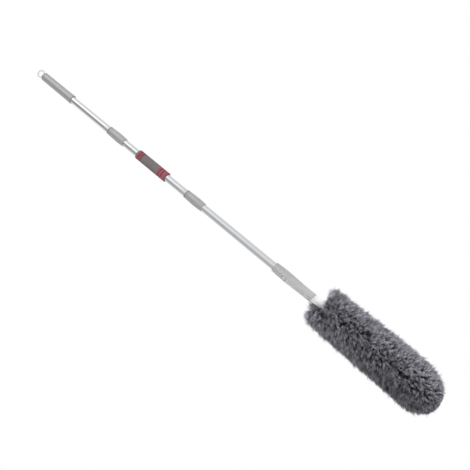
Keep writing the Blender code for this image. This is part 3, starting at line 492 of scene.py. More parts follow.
def stadiumPost(name, length, width, low, high, drop, finish, fillet=0.0, dome=0.0):
    # A slot-shaped ring (two half circles and two runs) carried outward along the radius at the button's
    # side, drawn in over the fillet and closed by a low dome
    sides, steps = 64, 7
    angle = np.linspace(0, 2 * np.pi, sides, endpoint=False) + np.pi / sides
    run = (length - width) / 2
    across = np.cos(angle) * width / 2
    along = np.sin(angle) * width / 2
    shift = np.where(np.sin(angle) > 0, run, -run)
    turnShare = np.linspace(0, np.pi / 2, steps)
    if fillet > 0:
        inset = fillet * (1 - np.cos(turnShare))
        radial = high - dome - fillet + fillet * np.sin(turnShare)
    else:
        inset, radial = np.zeros(1), np.array([high])
    flat = np.linspace(1, 0, steps)[1:]
    widest = 1 - 2 * inset[-1] / width
    scale = np.concatenate([[1.0], 1 - 2 * inset / width, widest * flat])[:, None]
    lid = high - dome * flat ** 2 if dome else np.full(steps - 1, radial[-1])
    radial = np.concatenate([[low], radial, lid])
    runScale = np.concatenate([np.ones(1 + len(inset)), flat])[:, None]
    x = np.repeat(radial[:, None], sides, axis=1)
    y = across[None] * scale
    z = along[None] * scale + shift[None] * runScale - drop
    points = np.stack([x, y, z], axis=-1)[:-1].reshape(-1, 3)
    points = np.vstack([points, [[radial[-1], 0, -drop], [low, 0, -drop]]])
    c, s = math.cos(buttonTurn), math.sin(buttonTurn)
    x, y, z = points.T
    points = np.stack([c * x - s * y, s * x + c * y, z], axis=-1)
    rows, ring = len(radial) - 1, np.arange(sides)
    fans = [endFan((rows - 1) * sides + ring, rows * sides, True), endFan(ring, rows * sides + 1, False)]
    return putMesh(name, points, [gridFaces(rows, sides)[:, ::-1], *fans], finish)


def rideAndReplace(piece, body, slotName, *nodes):
    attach(piece, body)
    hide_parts(*nodes)


def bendWith(piece, hinge, reach, slotName, *nodes):
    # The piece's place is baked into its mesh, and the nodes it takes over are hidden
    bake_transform(piece)
    if nodes:
        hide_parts(*nodes)


def nodeSpan(node):
    # Top and bottom height and the outer radius of a turned node
    low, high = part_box(node)
    return high[2], low[2], (high[0] - low[0]) / 2


def turnedNode(name, node, corners, finish, body, slotName, **shape):
    # A turned piece in the place of one node
    piece = turnedPiece(name, corners, nodeSpan(node)[0], finish, **shape)
    rideAndReplace(piece, body, slotName, node)
    return piece


def plainRing(name, node, inner, finish, body, slotName):
    top, bottom, outer = nodeSpan(node)
    thick = top - bottom
    corners = [(outer, 0, softEdge), (outer, thick, softEdge), (inner, thick, fineEdge),
               (inner, 0, fineEdge)]
    turnedNode(name, node, corners, finish, body, slotName)


# Hanging ring, cap and grip

ringShape = {"eye": 15.0 * mm, "width": 4.0 * mm, "thickness": 3.6 * mm, "squareness": 0.62,
             "size": (128, 40), "stem": 4.6 * mm, "stemRoot": 7.4 * mm, "stemFlare": 3.2 * mm,
             "flareRound": 1.5 * mm, "sunk": 0.45, "rootShare": 0.62, "barbWide": 1.55, "barbEnd": 1.5,
             "barbTip": 0.6, "barbRise": 1.8 * mm, "barbEdge": 1.7 * mm, "barbFall": 0.9 * mm,
             "barbRound": 0.5 * mm, "stemSides": 48}


def hangingRing():
    # A squared oval section swept round Y: x = (R + w) cos a, y = t, z = (R + w) sin a
    middle = (ringShape["eye"] + ringShape["width"]) / 2
    size = ringShape["size"]
    around = np.linspace(0, 2 * np.pi, size[0], endpoint=False)[:, None]
    section = np.linspace(0, 2 * np.pi, size[1], endpoint=False)[None]

    def squared(wave):
        return np.sign(wave) * np.abs(wave) ** ringShape["squareness"]

    side = squared(np.sin(section)) * ringShape["thickness"] / 2
    reach = middle + squared(np.cos(section)) * ringShape["width"] / 2
    points = np.stack([reach * np.cos(around), np.broadcast_to(side, size),
                       reach * np.sin(around) - ringShape["eye"] / 2], axis=-1)
    ring = putMesh("hangingRing", points.reshape(-1, 3), gridFaces(*size, closedRows=True), "paintedLightWhitePlastic")
    top = -ringShape["eye"] - ringShape["width"] * ringShape["sunk"]
    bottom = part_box("hanging_ring")[0][2]
    radius, root, flare = ringShape["stem"] / 2, ringShape["stemRoot"] / 2, ringShape["stemFlare"]
    length = top - bottom
    corners = [(root * ringShape["rootShare"], 0, 0), (radius, flare, ringShape["flareRound"]),
               (radius, length - ringShape["barbRise"], slightEdge),
               (radius * ringShape["barbWide"], length - ringShape["barbEdge"], softEdge),
               (radius * ringShape["barbEnd"], length - ringShape["barbFall"], ringShape["barbRound"]),
               (radius * ringShape["barbTip"], length, fineEdge), (axisRadius, length, 0),
               (axisRadius, 0, 0)]
    stem = turnedPiece("stem", corners, top, "paintedLightWhitePlastic", sides=ringShape["stemSides"])
    cutWith(ring, stem, "UNION")
    rideAndReplace(ring, "hanger", "white_plastic", "hanging_ring")


capShape = {"showing": 6.0 * mm, "topWall": 3.0 * mm, "spigotWall": 2.8 * mm, "hole": 5.2 * mm,
            "crown": 4.4 * mm}
gripShape = {"topRadius": 11.6 * mm, "topRound": 0.9 * mm, "lowRadius": 12.0 * mm, "lipLength": 10.0 * mm,
             "flare": 7.0 * mm, "flareRound": 6.0 * mm, "lipTop": 2.0 * mm, "lipEnd": 1.6 * mm,
             "spacing": 4.0 * mm}


def endCap():
    top, bottom, outer = nodeSpan("end_cap")
    spigot = nodeSpan("upper_tube")[2]
    hollow, wall = spigot - capShape["spigotWall"], capShape["topWall"]
    hole, showing, end = capShape["hole"] / 2, capShape["showing"], top - bottom
    corners = [(hole, 0, slightEdge), (outer, 0, capShape["crown"]), (outer, showing, roundEdge),
               (spigot, showing, fineEdge), (spigot, end, softEdge), (hollow, end, slightEdge),
               (hollow, wall, slightEdge), (hole, wall, fineEdge)]
    turnedNode("endCap", "end_cap", corners, "greyPlastic", "upper_section", "grey_plastic")


def handleGrip():
    top, bottom, lip = nodeSpan("handle_grip")
    length = top - bottom
    bore = nodeSpan("upper_tube")[2] + seatGap
    flareEnd = length - gripShape["lipLength"]
    corners = [(gripShape["topRadius"], 0, gripShape["topRound"]),
               (gripShape["lowRadius"], flareEnd - gripShape["flare"], gripShape["flareRound"]),
               (lip, flareEnd, gripShape["lipTop"]), (lip, length, gripShape["lipEnd"]),
               (bore, length, softEdge), (bore, 0, fineEdge)]
    turnedNode("handleGrip", "handle_grip", corners, "greyPlastic", "upper_section", "grey_plastic",
               spacing=gripShape["spacing"])


# Pole: tubes, plugs, gaskets and couplers

poleShape = {"tubeWall": 0.8 * mm, "tubeEdge": 0.3 * mm, "tubeSides": 112, "tubeSpacing": 20.0 * mm,
             "pitch": 4.0 * mm, "threadDepth": 0.75 * mm, "threadLead": 1.0 * mm, "threadFade": 1.5 * mm,
             "crestTop": 1.6, "crestSlope": 4.4, "onSpigot": 0.01 * mm, "plugInsert": 22.0 * mm,
             "collar": 3.0 * mm, "collarTop": 0.9 * mm, "collarLow": 0.5 * mm, "plugBore": 5.0 * mm,
             "spigot": 7.95 * mm, "spacing": 0.5 * mm}
couplerShape = {"endRadius": 11.1 * mm, "taper": 3.0 * mm, "tailRadius": 10.6 * mm, "lowShare": 1.3,
                "swellSteps": 25, "thread": 8.3 * mm, "threadDepth": 15.5 * mm, "web": 2.0 * mm,
                "edge": 0.8 * mm, "lines": (5.0 * mm, 7.6 * mm), "lineDepth": 0.35 * mm,
                "lineWidth": 0.35 * mm, "skin": 0.5 * mm}


def steelTube(name, node, body):
    top, bottom, outer = nodeSpan(node)
    inner, edge = outer - poleShape["tubeWall"], poleShape["tubeEdge"]
    length = top - bottom
    corners = [(outer, 0, edge), (outer, length, edge), (inner, length, edge), (inner, 0, edge)]
    return turnedNode(name, node, corners, "polishedSteel", body, "stainless_steel",
                      sides=poleShape["tubeSides"], spacing=poleShape["tubeSpacing"])


def threadedPlug(name, node, body):
    # The spigot's radius rises where drop / pitch - angle / 2 pi is half-way between two whole numbers
    top, bottom, collar = nodeSpan(node)
    length = top - bottom
    insert = nodeSpan("upper_tube")[2] - poleShape["tubeWall"] - seatGap
    start, end = poleShape["plugInsert"], poleShape["plugInsert"] + poleShape["collar"]
    spigot, bore, depth = poleShape["spigot"], poleShape["plugBore"], poleShape["threadDepth"]
    lead = poleShape["threadLead"]

    def thread(radius, drop, angle):
        on = (np.abs(radius - spigot) < poleShape["onSpigot"]) & (drop > end + lead)
        phase = (drop / poleShape["pitch"] - angle / (2 * np.pi)) % 1.0
        crest = np.clip(poleShape["crestTop"] - np.abs(phase - 0.5) * poleShape["crestSlope"], 0, 1)
        fadeIn = np.clip((drop - end - lead) / lead, 0, 1)
        fade = np.clip((length - drop) / poleShape["threadFade"], 0, 1) * fadeIn
        return np.where(on, radius - depth + crest * depth * fade, radius), drop

    corners = [(insert, 0, roundEdge), (insert, start, fineEdge), (collar, start, poleShape["collarTop"]),
               (collar, end, poleShape["collarLow"]), (spigot, end, 0), (spigot, length, 0),
               (bore, length, softEdge), (bore, 0, softEdge)]
    turnedNode(name, node, corners, "greyPlastic", body, "grey_plastic", spacing=poleShape["spacing"],
               detail=thread)


def barrelCoupler(name, node, body):
    # Barrel: r = end + (widest - end) sin(pi share^1.3), widest below its middle; two fine lines ring its
    # upper part
    top, bottom, widest = nodeSpan(node)
    length = top - bottom
    end, tail = couplerShape["endRadius"], couplerShape["tailRadius"]
    barrel = length - couplerShape["taper"]
    share = np.linspace(0, 1, couplerShape["swellSteps"])[1:]
    bulge = np.sin(np.pi * share ** couplerShape["lowShare"])
    swell = [(end + (widest - end) * b, barrel * s, 0) for s, b in zip(share, bulge)]
    seat = nodeSpan("middle_tube")[2] + seatGap
    depth, web = couplerShape["threadDepth"], couplerShape["threadDepth"] + couplerShape["web"]
    bore, thread, edge = poleShape["plugBore"], couplerShape["thread"], couplerShape["edge"]
    corners = [(end, 0, edge), *swell, (tail, length, edge), (seat, length, fineEdge), (seat, web, 0),
               (bore, web, 0), (bore, depth, 0), (thread, depth, 0), (thread, 0, slightEdge)]

    def lines(radius, drop, angle):
        width = couplerShape["lineWidth"]
        cut = sum(np.exp(-((drop - line) / width) ** 2) for line in couplerShape["lines"])
        outside = radius > end - couplerShape["skin"]
        return np.where(outside, radius - couplerShape["lineDepth"] * cut, radius), drop

    turnedNode(name, node, corners, "greyPlastic", body, "grey_plastic", spacing=poleShape["spacing"],
               detail=lines)


# Foam grip and its red bands

foamShape = {"bore": 9.75 * mm, "endFillet": 2.6 * mm, "jointFillet": 0.5 * mm, "groove": 2.8 * mm,
             "grooveWidth": 1.1 * mm, "finePitch": 3.9 * mm, "fineDepth": 0.16 * mm, "spacing": 0.55 * mm,
             "upperGrooves": (3.1 * mm, 10.2 * mm), "lowerGrooves": (4.9 * mm, 13.4 * mm)}


def foamSleeve(name, node, finish, slotName, topFillet, lowFillet, fineDepth=0.0, grooves=()):
    # Fine ribs are a squared cosine wave along the sleeve; deeper grooves ring the red bands
    top, bottom, outer = nodeSpan(node)
    length, bore = top - bottom, foamShape["bore"]
    corners = [(outer, 0, topFillet), (outer, length, lowFillet), (bore, length, slightEdge),
               (bore, 0, slightEdge)]

    def ribbed(radius, drop, angle):
        skin = np.clip((radius - bore) / (outer - bore), 0, 1)
        fine = fineDepth * (0.5 - 0.5 * np.cos(2 * np.pi * drop / foamShape["finePitch"])) ** 2
        deep = sum((np.exp(-((drop - m) / foamShape["grooveWidth"]) ** 2) for m in grooves), 0 * drop)
        return radius - skin ** 2 * (fine + foamShape["groove"] * deep), drop

    turnedNode(name, node, corners, finish, "middle_section", slotName, spacing=foamShape["spacing"],
               detail=ribbed, steps=6)


# Lower section: socket, button

socketShape = {"topRadius": 12.1 * mm, "topRound": 1.4 * mm, "swellRadius": 13.55 * mm, "swell": 37.0 * mm,
               "swellRound": 380 * mm, "waistRadius": 11.8 * mm, "waist": 82.0 * mm, "waistRound": 800 * mm,
               "mouthRadius": 11.6 * mm, "mouthRound": 1.1 * mm, "tubeDepth": 52.3 * mm, "web": 3.0 * mm,
               "webBore": 6.0 * mm, "plugBore": 9.2 * mm, "dishLength": 18.5 * mm, "dishWidth": 13.0 * mm,
               "dishDepth": 1.5 * mm, "dishPower": 0.8, "slotLength": 21.6 * mm, "slotWidth": 5.4 * mm,
               "sides": 128, "spacing": 1.1 * mm}
buttonShape = {"length": 8.6 * mm, "width": 6.0 * mm, "clearance": 0.4 * mm, "shift": 1.0 * mm,
               "fillet": 0.9 * mm, "dome": 0.5 * mm}


def buttonDrop():
    low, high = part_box("lock_button")
    return -(low[2] + high[2]) / 2


def cutWindow(piece, inner, outer, finish):
    # The button's opening: its outline, the clearance all round and the shift that the press takes
    gap, shift = 2 * buttonShape["clearance"], buttonShape["shift"]
    window = stadiumPost("window", buttonShape["length"] + gap + shift, buttonShape["width"] + gap,
                         inner - cutInside, outer + cutOutside, buttonDrop() + shift / 2, finish)
    cutWith(piece, window)


def headSocket():
    # The dish is a smooth oval hollow: (1 - (x / a)^2 - (z / b)^2)^0.8 of its depth is taken off the radius
    top, bottom, widest = nodeSpan("head_socket")
    length = top - bottom
    seat = nodeSpan("lower_tube")[2] + seatGap
    depth, web = socketShape["tubeDepth"], socketShape["tubeDepth"] + socketShape["web"]
    plug, webBore = socketShape["plugBore"], socketShape["webBore"]
    corners = [(socketShape["topRadius"], 0, socketShape["topRound"]),
               (socketShape["swellRadius"], socketShape["swell"], socketShape["swellRound"]),
               (socketShape["waistRadius"], socketShape["waist"], socketShape["waistRound"]),
               (socketShape["mouthRadius"], length, socketShape["mouthRound"]), (plug, length, softEdge),
               (plug, web, 0), (webBore, web, 0), (webBore, depth, 0), (seat, depth, 0),
               (seat, 0, slightEdge)]
    middle = top + buttonDrop()

    def dish(radius, drop, angle):
        around = (angle - buttonTurn + np.pi) % (2 * np.pi) - np.pi
        across = around * radius / (socketShape["dishWidth"] / 2)
        along = (drop - middle) / (socketShape["dishLength"] / 2)
        hollow = np.clip(1 - across ** 2 - along ** 2, 0, 1) ** socketShape["dishPower"]
        return np.where(radius > seat + skinDepth, radius - socketShape["dishDepth"] * hollow, radius), drop

    socket = turnedPiece("headSocket", corners, top, "greyPlastic", sides=socketShape["sides"],
                         spacing=socketShape["spacing"], detail=dish)
    cutWindow(socket, seat, widest, "greyPlastic")
    slotCut = stadiumPost("slotCut", 2 * socketShape["slotLength"], socketShape["slotWidth"],
                          plug - cutInside, widest + cutOutside, -bottom, "greyPlastic")
    cutWith(socket, slotCut)
    rideAndReplace(socket, "lower_section", "grey_plastic", "head_socket")


def lowerTube():
    tube = steelTube("lowerTube", "lower_tube", "lower_section")
    outer = nodeSpan("lower_tube")[2]
    cutWindow(tube, outer, outer, "polishedSteel")


def lockButton():
    facing = Vector((math.cos(buttonTurn), math.sin(buttonTurn), 0))
    reach = [Vector(v.co).dot(facing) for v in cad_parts["lock_button"].data.vertices]
    # The button takes the lighter copy of the white plastic: painted light where it sits in shade
    piece = stadiumPost("lockButton", buttonShape["length"], buttonShape["width"], min(reach), max(reach),
                        buttonDrop(), "paintedLightWhitePlastic", buttonShape["fillet"], buttonShape["dome"])
    rideAndReplace(piece, "snap_button", "white_plastic", "lock_button")


# Head: neck and strip

neckShape = {"plugRadius": 8.9 * mm, "plugRound": 1.5 * mm, "plugBore": 5.5 * mm, "boreLength": 50.0 * mm,
             "plugLength": 58.3 * mm, "collar": 5.0 * mm, "collarRadius": 10.8 * mm,
             "collarRound": 1.4 * mm, "collarEase": 1.2 * mm, "radius": 10.1 * mm, "endRound": 1.6 * mm,
             "spacing": 2.5 * mm,
             "keyWidth": 4.8 * mm, "keyTop": 11.4 * mm, "keyLength": 23.9 * mm}
stripShape = {"width": 14.0 * mm, "thickness": 2.0 * mm, "edge": 0.5 * mm, "rows": 60,
              "bendReach": 10.0 * mm}


def headNeck():
    low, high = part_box("head_neck")
    top, length = high[2], high[2] - low[2]
    collar, radius = neckShape["collarRadius"], neckShape["radius"]
    plug, bore, shoulder = neckShape["plugRadius"], neckShape["plugBore"], neckShape["plugLength"]
    boreEnd, collarEnd = neckShape["boreLength"], shoulder + neckShape["collar"]
    corners = [(bore, 0, slightEdge), (plug, 0, neckShape["plugRound"]), (plug, shoulder, fineEdge),
               (collar, shoulder, roundEdge), (collar, collarEnd, neckShape["collarRound"]),
               (radius, collarEnd + neckShape["collarEase"], roundEdge),
               (radius, length, neckShape["endRound"]), (axisRadius, length, 0), (axisRadius, boreEnd, 0),
               (bore, boreEnd, softEdge)]
    neck = turnedPiece("headNeck", corners, top, "milkyPlastic", spacing=neckShape["spacing"])
    mouth = -nodeSpan("head_socket")[1]
    keyMiddle = mouth + neckShape["collar"] / 2 - neckShape["keyLength"] / 2
    key = stadiumPost("key", neckShape["keyLength"], neckShape["keyWidth"], (plug + bore) / 2,
                      neckShape["keyTop"], keyMiddle, "milkyPlastic", softEdge)
    cutWith(neck, key, "UNION")
    rideAndReplace(neck, "head_base", "white_plastic", "head_neck")


def flatStrip(name, top, bottom):
    # A rounded flat section carried down the pole's axis, closed at both ends
    half, thick, edge = stripShape["width"] / 2, stripShape["thickness"] / 2, stripShape["edge"]
    turn = np.linspace(0, np.pi / 2, 4)
    corner = np.stack([thick - edge + edge * np.cos(turn), half - edge + edge * np.sin(turn)], axis=-1)
    section = np.vstack([corner, (corner * [-1, 1])[::-1], -corner, (corner * [1, -1])[::-1]])
    rows, count = stripShape["rows"], len(section)
    height = np.linspace(top, bottom, rows)[:, None, None]
    points = np.concatenate([np.broadcast_to(section, (rows, count, 2)),
                             np.broadcast_to(height, (rows, count, 1))], axis=-1)
    column = np.arange(count)[None]
    faces = [gridFaces(rows, count), column, (rows - 1) * count + column[:, ::-1]]
    return putMesh(name, points.reshape(-1, 3), faces, "dullAluminium")


# Plush head: pile profile, backing sleeve and strands

plushShape = {"nearRadius": 52.0 * mm, "swellShare": 0.55, "nearRounding": 16.0 * mm,
              "tipRounding": 70.0 * mm, "tipPower": 2.1, "notchRadius": 33.0 * mm,
              "notchInner": 15.0 * mm, "notchDepth": 20.0 * mm,
              "bendZone": 36.0 * mm, "tipShift": -5.5 * mm, "shiftStart": 0.6, "rightDraw": 2.2 * mm,
              "rightZone": (-0.2, 0.9), "steps": 400, "pastNotch": 40}
recessShape = {"slit": (-12.2 * mm, -7.4 * mm), "side": 9.0 * mm, "front": 27.0 * mm,
               "frontEase": 19.5 * mm, "frontZone": (0, -36 * mm), "easeZone": (-2 * mm, 20 * mm),
               "leftReach": -3.0 * mm,
               "wispReach": 18.0 * mm, "wispPlace": -10.5 * mm, "wispWidth": 2.0 * mm, "length": 70 * mm,
               "power": 1.5}
backingShape = {"depth": 17.0 * mm, "ripple": 1.2 * mm, "around": 17, "along": 900, "beat": 1300,
                "least": 12.0 * mm, "rows": 90, "sides": 120, "seam": 0.1 * mm, "tipGap": 0.5 * mm}
plushTop = nodeSpan("plush_sleeve_base")[0]
plushBottom = nodeSpan("plush_sleeve_tip")[1]
plushFull = nodeSpan("plush_sleeve_tip")[2]
plushLength = plushTop - plushBottom
nearHinge = {"bodies": ("head_base", "head_middle"), "height": nodeSpan("plush_sleeve_base")[1]}
farHinge = {"bodies": ("head_middle", "head_tip"), "height": nodeSpan("plush_sleeve_middle")[1]}
pileSplit = (nearHinge["height"] + farHinge["height"]) / 2


def pileRadius(drop):
    # The pile swells from the near end, rounds in at its rim and closes in a superellipse tip
    near = plushShape["nearRadius"]
    swell = np.clip(drop / (plushLength * plushShape["swellShare"]), 0, 1)
    radius = near + (plushFull - near) * swell
    rim = np.clip(1 - drop / plushShape["nearRounding"], 0, 1)
    radius = radius - plushShape["nearRounding"] * (1 - np.sqrt(1 - rim ** 2))
    closing = np.clip(1 - (plushLength - drop) / plushShape["tipRounding"], 0, 1)
    power = plushShape["tipPower"]
    return radius * np.clip(1 - closing ** power, 0, 1) ** (1 / power)


def smoothStep(zone, value):
    share = np.clip((value - zone[0]) / (zone[1] - zone[0]), 0, 1)
    return share * share * (3 - 2 * share)


def nearRecess(x, y):
    # How far the near rim is drawn back: most in front of the neck, less at its right, little at the lobe
    # on its left, where a wisp reaches up along the neck
    right = smoothStep(recessShape["slit"], x)
    front = smoothStep(recessShape["frontZone"], y)
    ease = smoothStep(recessShape["easeZone"], x)
    deep = recessShape["front"] + (recessShape["frontEase"] - recessShape["front"]) * ease
    drawn = recessShape["side"] + (deep - recessShape["side"]) * front
    spread = np.exp(-((x - recessShape["wispPlace"]) / recessShape["wispWidth"]) ** 2)
    wisp = recessShape["wispReach"] * spread * front
    return right * drawn - (1 - right) * (recessShape["leftReach"] + wisp)


def pileProfile():
    # Notch wall, near face and side in one curve of (radius, drop), even steps of arc length
    rounding = plushShape["nearRounding"]
    wall = np.stack([np.linspace(plushShape["notchInner"], plushShape["notchRadius"], 30),
                     np.linspace(plushShape["notchDepth"], 0, 30)], axis=-1)
    tip = plushLength - plushShape["tipRounding"] * (1 - np.sin(np.linspace(0, np.pi / 2, 120)))
    drop = np.concatenate([rounding * (1 - np.cos(np.linspace(0, np.pi / 2, 40))),
                           np.linspace(rounding, tip[0], 120)[1:-1], tip])
    curve = np.vstack([wall, np.stack([pileRadius(drop), drop], axis=-1)])
    length = np.concatenate([[0], np.cumsum(np.linalg.norm(np.diff(curve, axis=0), axis=1))])
    even = np.linspace(0, length[-1], plushShape["steps"])
    return np.stack([np.interp(even, length, column) for column in curve.T], axis=-1), even


profile, profileLength = pileProfile()


def evened(values):
    # A running mean over nine steps of the profile
    return np.convolve(np.pad(values, 4, mode="edge"), np.ones(9) / 9, mode="valid")


def pileFrame(arc, angle):
    # Point, outward normal, tip-ward tangent and sideways tangent of the pile surface
    radius = np.interp(arc, profileLength, profile[:, 0])
    drop = np.interp(arc, profileLength, profile[:, 1])
    slope = np.gradient(profile, profileLength, axis=0)
    slope /= np.linalg.norm(slope, axis=1, keepdims=True)
    alongR = np.interp(arc, profileLength, evened(slope[:, 0]))
    alongD = np.interp(arc, profileLength, evened(slope[:, 1]))
    size = np.hypot(alongR, alongD)
    alongR, alongD = alongR / size, alongD / size
    c, s = np.cos(angle), np.sin(angle)
    shift = plushShape["tipShift"] * smoothStep((plushLength * plushShape["shiftStart"], plushLength), drop)
    shift = shift - plushShape["rightDraw"] * smoothStep(plushShape["rightZone"], c)
    fade = np.clip(1 - drop / recessShape["length"], 0, 1) ** recessShape["power"]
    drop = drop + nearRecess(radius * c, radius * s) * fade
    point = np.stack([radius * c + shift, radius * s, plushTop - drop], axis=-1)
    normal = np.stack([alongD * c, alongD * s, alongR], axis=-1)
    along = np.stack([alongR * c, alongR * s, -alongD], axis=-1)
    across = np.stack([-s, c, np.zeros_like(c)], axis=-1)
    return point, normal, along, across


def backingPoints(arcStart, arcEnd):
    # The knitted backing: the pile surface drawn in along its normal, down to the strip's pocket
    size = (backingShape["rows"], backingShape["sides"])
    angle = np.broadcast_to(np.linspace(0, 2 * np.pi, size[1], endpoint=False), size)
    arc = np.broadcast_to(np.linspace(arcStart, arcEnd, size[0])[:, None], size)
    point, normal = pileFrame(arc, angle)[:2]
    ripple = backingShape["ripple"] * np.sin(angle * backingShape["around"] + arc * backingShape["along"])
    ripple = ripple * np.sin(arc * backingShape["beat"])
    points = point - normal * (backingShape["depth"] + ripple)[..., None]
    flat = np.hypot(points[..., 0], points[..., 1])
    least = backingShape["least"]
    scale = np.where(flat < least, least / np.maximum(flat, 1e-6), 1.0)
    points[..., :2] *= scale[..., None]
    return points.reshape(-1, 3)


def flipIfInside(piece):
    # A closed mesh whose signed volume is negative has its faces turned round
    mesh = piece.data
    points = np.empty(len(mesh.vertices) * 3, np.float32)
    mesh.vertices.foreach_get("co", points)
    points = points.reshape(-1, 3).astype(float)
    mesh.calc_loop_triangles()
    corners = np.empty(len(mesh.loop_triangles) * 3, np.int32)
    mesh.loop_triangles.foreach_get("vertices", corners)
    a, b, c = points[corners.reshape(-1, 3)].transpose(1, 0, 2)
    if np.einsum("ij,ij->i", a, np.cross(b, c)).sum() < 0:
        mesh.flip_normals()


def sleevePiece(name, arcStart, arcEnd, hinge, *nodes):
    points = backingPoints(arcStart, arcEnd)
    rows, sides, count = backingShape["rows"], backingShape["sides"], len(points)
    ring = np.arange(sides)
    fans = [endFan(ring, count, False), endFan((rows - 1) * sides + ring, count + 1, True)]
    points = np.vstack([points, points[:sides].mean(axis=0), points[-sides:].mean(axis=0)])
    piece = putMesh(name, points, [gridFaces(rows, sides), *fans], "sleeveCloth")
    flipIfInside(piece)
    bendWith(piece, hinge, plushShape["bendZone"], "grey_plush", *nodes)


# Pairs are the two ends of a random draw, of a clipped range or of a smooth step
strandShape = {"seed": 26, "spacing": 4.1 * mm, "firstRow": 1.3, "jitter": 0.45, "perTuft": 9,
               "spread": 0.72, "inner": 22.0 * mm, "thickness": 0.37 * mm, "thickRange": (0.75, 1.25),
               "over": 0.5 * mm, "draw": 0.74, "reach": 9.5 * mm, "sectors": 6, "lockTone": 0.55,
               "stations": (0.2, 0.5, 0.75, 0.92, 1.0), "taper": (0.85, 1.0, 0.9, 0.62, 0.0)}
lengthShape = {"tuftLoose": 0.10, "tuftRange": (0.8, 1.16), "ownRange": (0.80, 1.06), "axisReach": 40 * mm,
               "axisLeast": 0.4, "strayShare": 0.12, "strayRange": (0.05, 0.22), "strayLeast": 0.3,
               "strayZone": (-30 * mm, 10 * mm), "rimFluff": 0.3, "fluffRange": (-0.5, 1)}
# The last two values lighten the strands of the rim's lobe and of the wisp: painted light on pile that sits
# in shade
rimShape = {"start": (18 * mm, 28 * mm), "end": (38 * mm, 62 * mm), "wispFront": (0, -20 * mm),
            "wispEnd": (30 * mm, 60 * mm), "lobe": (-16 * mm, -6 * mm), "rimPaintedLight": 0.65, "wispPaintedLight": 0.45}
fallShape = {"middle": -2, "broad": 6, "broadLength": 41 * mm, "small": 4, "smallLength": 17 * mm,
             "width": 24, "fade": 3.6, "partingLean": 0.55, "wave": 0.16, "waveLength": 19 * mm,
             "beatLength": 33 * mm, "rightStart": (-10, 40), "rightEnd": (110, 160), "sweepLeft": 0.34,
             "sweepRight": 0.26, "sweepLoose": 0.22, "sweepZone": (22 * mm, 80 * mm), "sweepLeast": 0.1,
             "looseLeast": 0.4, "lean": 0.26, "loose": 0.08}
curlShape = {"own": 0.55 * mm, "ownTurns": (0.5, 1.15), "ownRange": (0.4, 1.2),
             "lock": 1.7 * mm, "lockTurns": (0.4, 0.9), "lockRange": (0.4, 1.3)}


def tuftCentres(rng):
    # Rows of even arc spacing, each with as many tufts as its circumference holds, all jittered
    spacing, jitter = strandShape["spacing"], strandShape["jitter"]
    rows = np.arange(spacing * strandShape["firstRow"], profileLength[-1], spacing)
    radius = np.interp(rows, profileLength, profile[:, 0])
    counts = np.maximum(1, np.round(2 * np.pi * radius / spacing)).astype(int)
    which = np.repeat(np.arange(len(rows)), counts)
    step = np.arange(counts.sum()) - np.repeat(np.cumsum(counts) - counts, counts)
    arc = rows[which] + rng.uniform(-jitter, jitter, len(which)) * spacing
    step = step + rng.uniform(-jitter, jitter, len(which)) + 0.5 * (which % 2)
    angle = 2 * np.pi * step / counts[which]
    return np.clip(arc, 0, profileLength[-1]), angle


def fallField(drop, angle):
    # Lean sideways and sweep towards the tip, both as slopes: strands fall away to both sides of a
    # wandering line down the front, and lean in slow waves elsewhere
    front = (np.degrees(angle) + 90 + 180) % 360 - 180
    line = fallShape["middle"] + fallShape["broad"] * np.sin(drop / fallShape["broadLength"])
    line = line + fallShape["small"] * np.sin(drop / fallShape["smallLength"] + 1)
    away = (front - line) / fallShape["width"]
    lean = fallShape["partingLean"] * np.tanh(away) * np.exp(-(away / fallShape["fade"]) ** 2)
    wave = fallShape["wave"] * np.sin(drop / fallShape["waveLength"] + 2 * angle)
    lean = lean + wave * np.sin(3 * angle + drop / fallShape["beatLength"] + 2)
    right = smoothStep(fallShape["rightStart"], front) * (1 - smoothStep(fallShape["rightEnd"], front))
    return lean, fallShape["sweepLeft"] + (fallShape["sweepRight"] - fallShape["sweepLeft"]) * right


def atLeast(least, share):
    return least + (1 - least) * share


def rimZones(point, arc):
    # How much each tuft belongs to the fluffy rim's lobe and to the wisp beside the neck; the lobe's
    # strands grow uneven, and the strands of both are lightened, painted light where they sit in shade
    rim = smoothStep(rimShape["start"], arc) * (1 - smoothStep(rimShape["end"], arc))
    wisp = np.exp(-((point[:, 0] - recessShape["wispPlace"]) / (2 * recessShape["wispWidth"])) ** 2)
    wisp = wisp * smoothStep(rimShape["wispFront"], point[:, 1])
    wisp = wisp * (1 - smoothStep(rimShape["wispEnd"], arc))
    return rim * (1 - wisp) * atLeast(0.5, 1 - smoothStep(rimShape["lobe"], point[:, 0])), wisp


def strandLengths(rng, point, tuftLength, lobe, which):
    # Stray strands stand out longer on the right side and hardly on the left; the rim's lobe is uneven
    n = len(which)
    length = strandShape["inner"] * tuftLength[which] * rng.uniform(*lengthShape["ownRange"], n)
    length = length + strandShape["over"]
    stray = (rng.uniform(0, 1, n) < lengthShape["strayShare"]) * rng.uniform(*lengthShape["strayRange"], n)
    strayReach = atLeast(lengthShape["strayLeast"], smoothStep(lengthShape["strayZone"], point[:, 0]))
    length = length * (1 + stray * strayReach[which])
    return length * (1 + lengthShape["rimFluff"] * lobe[which] * rng.uniform(*lengthShape["fluffRange"], n))


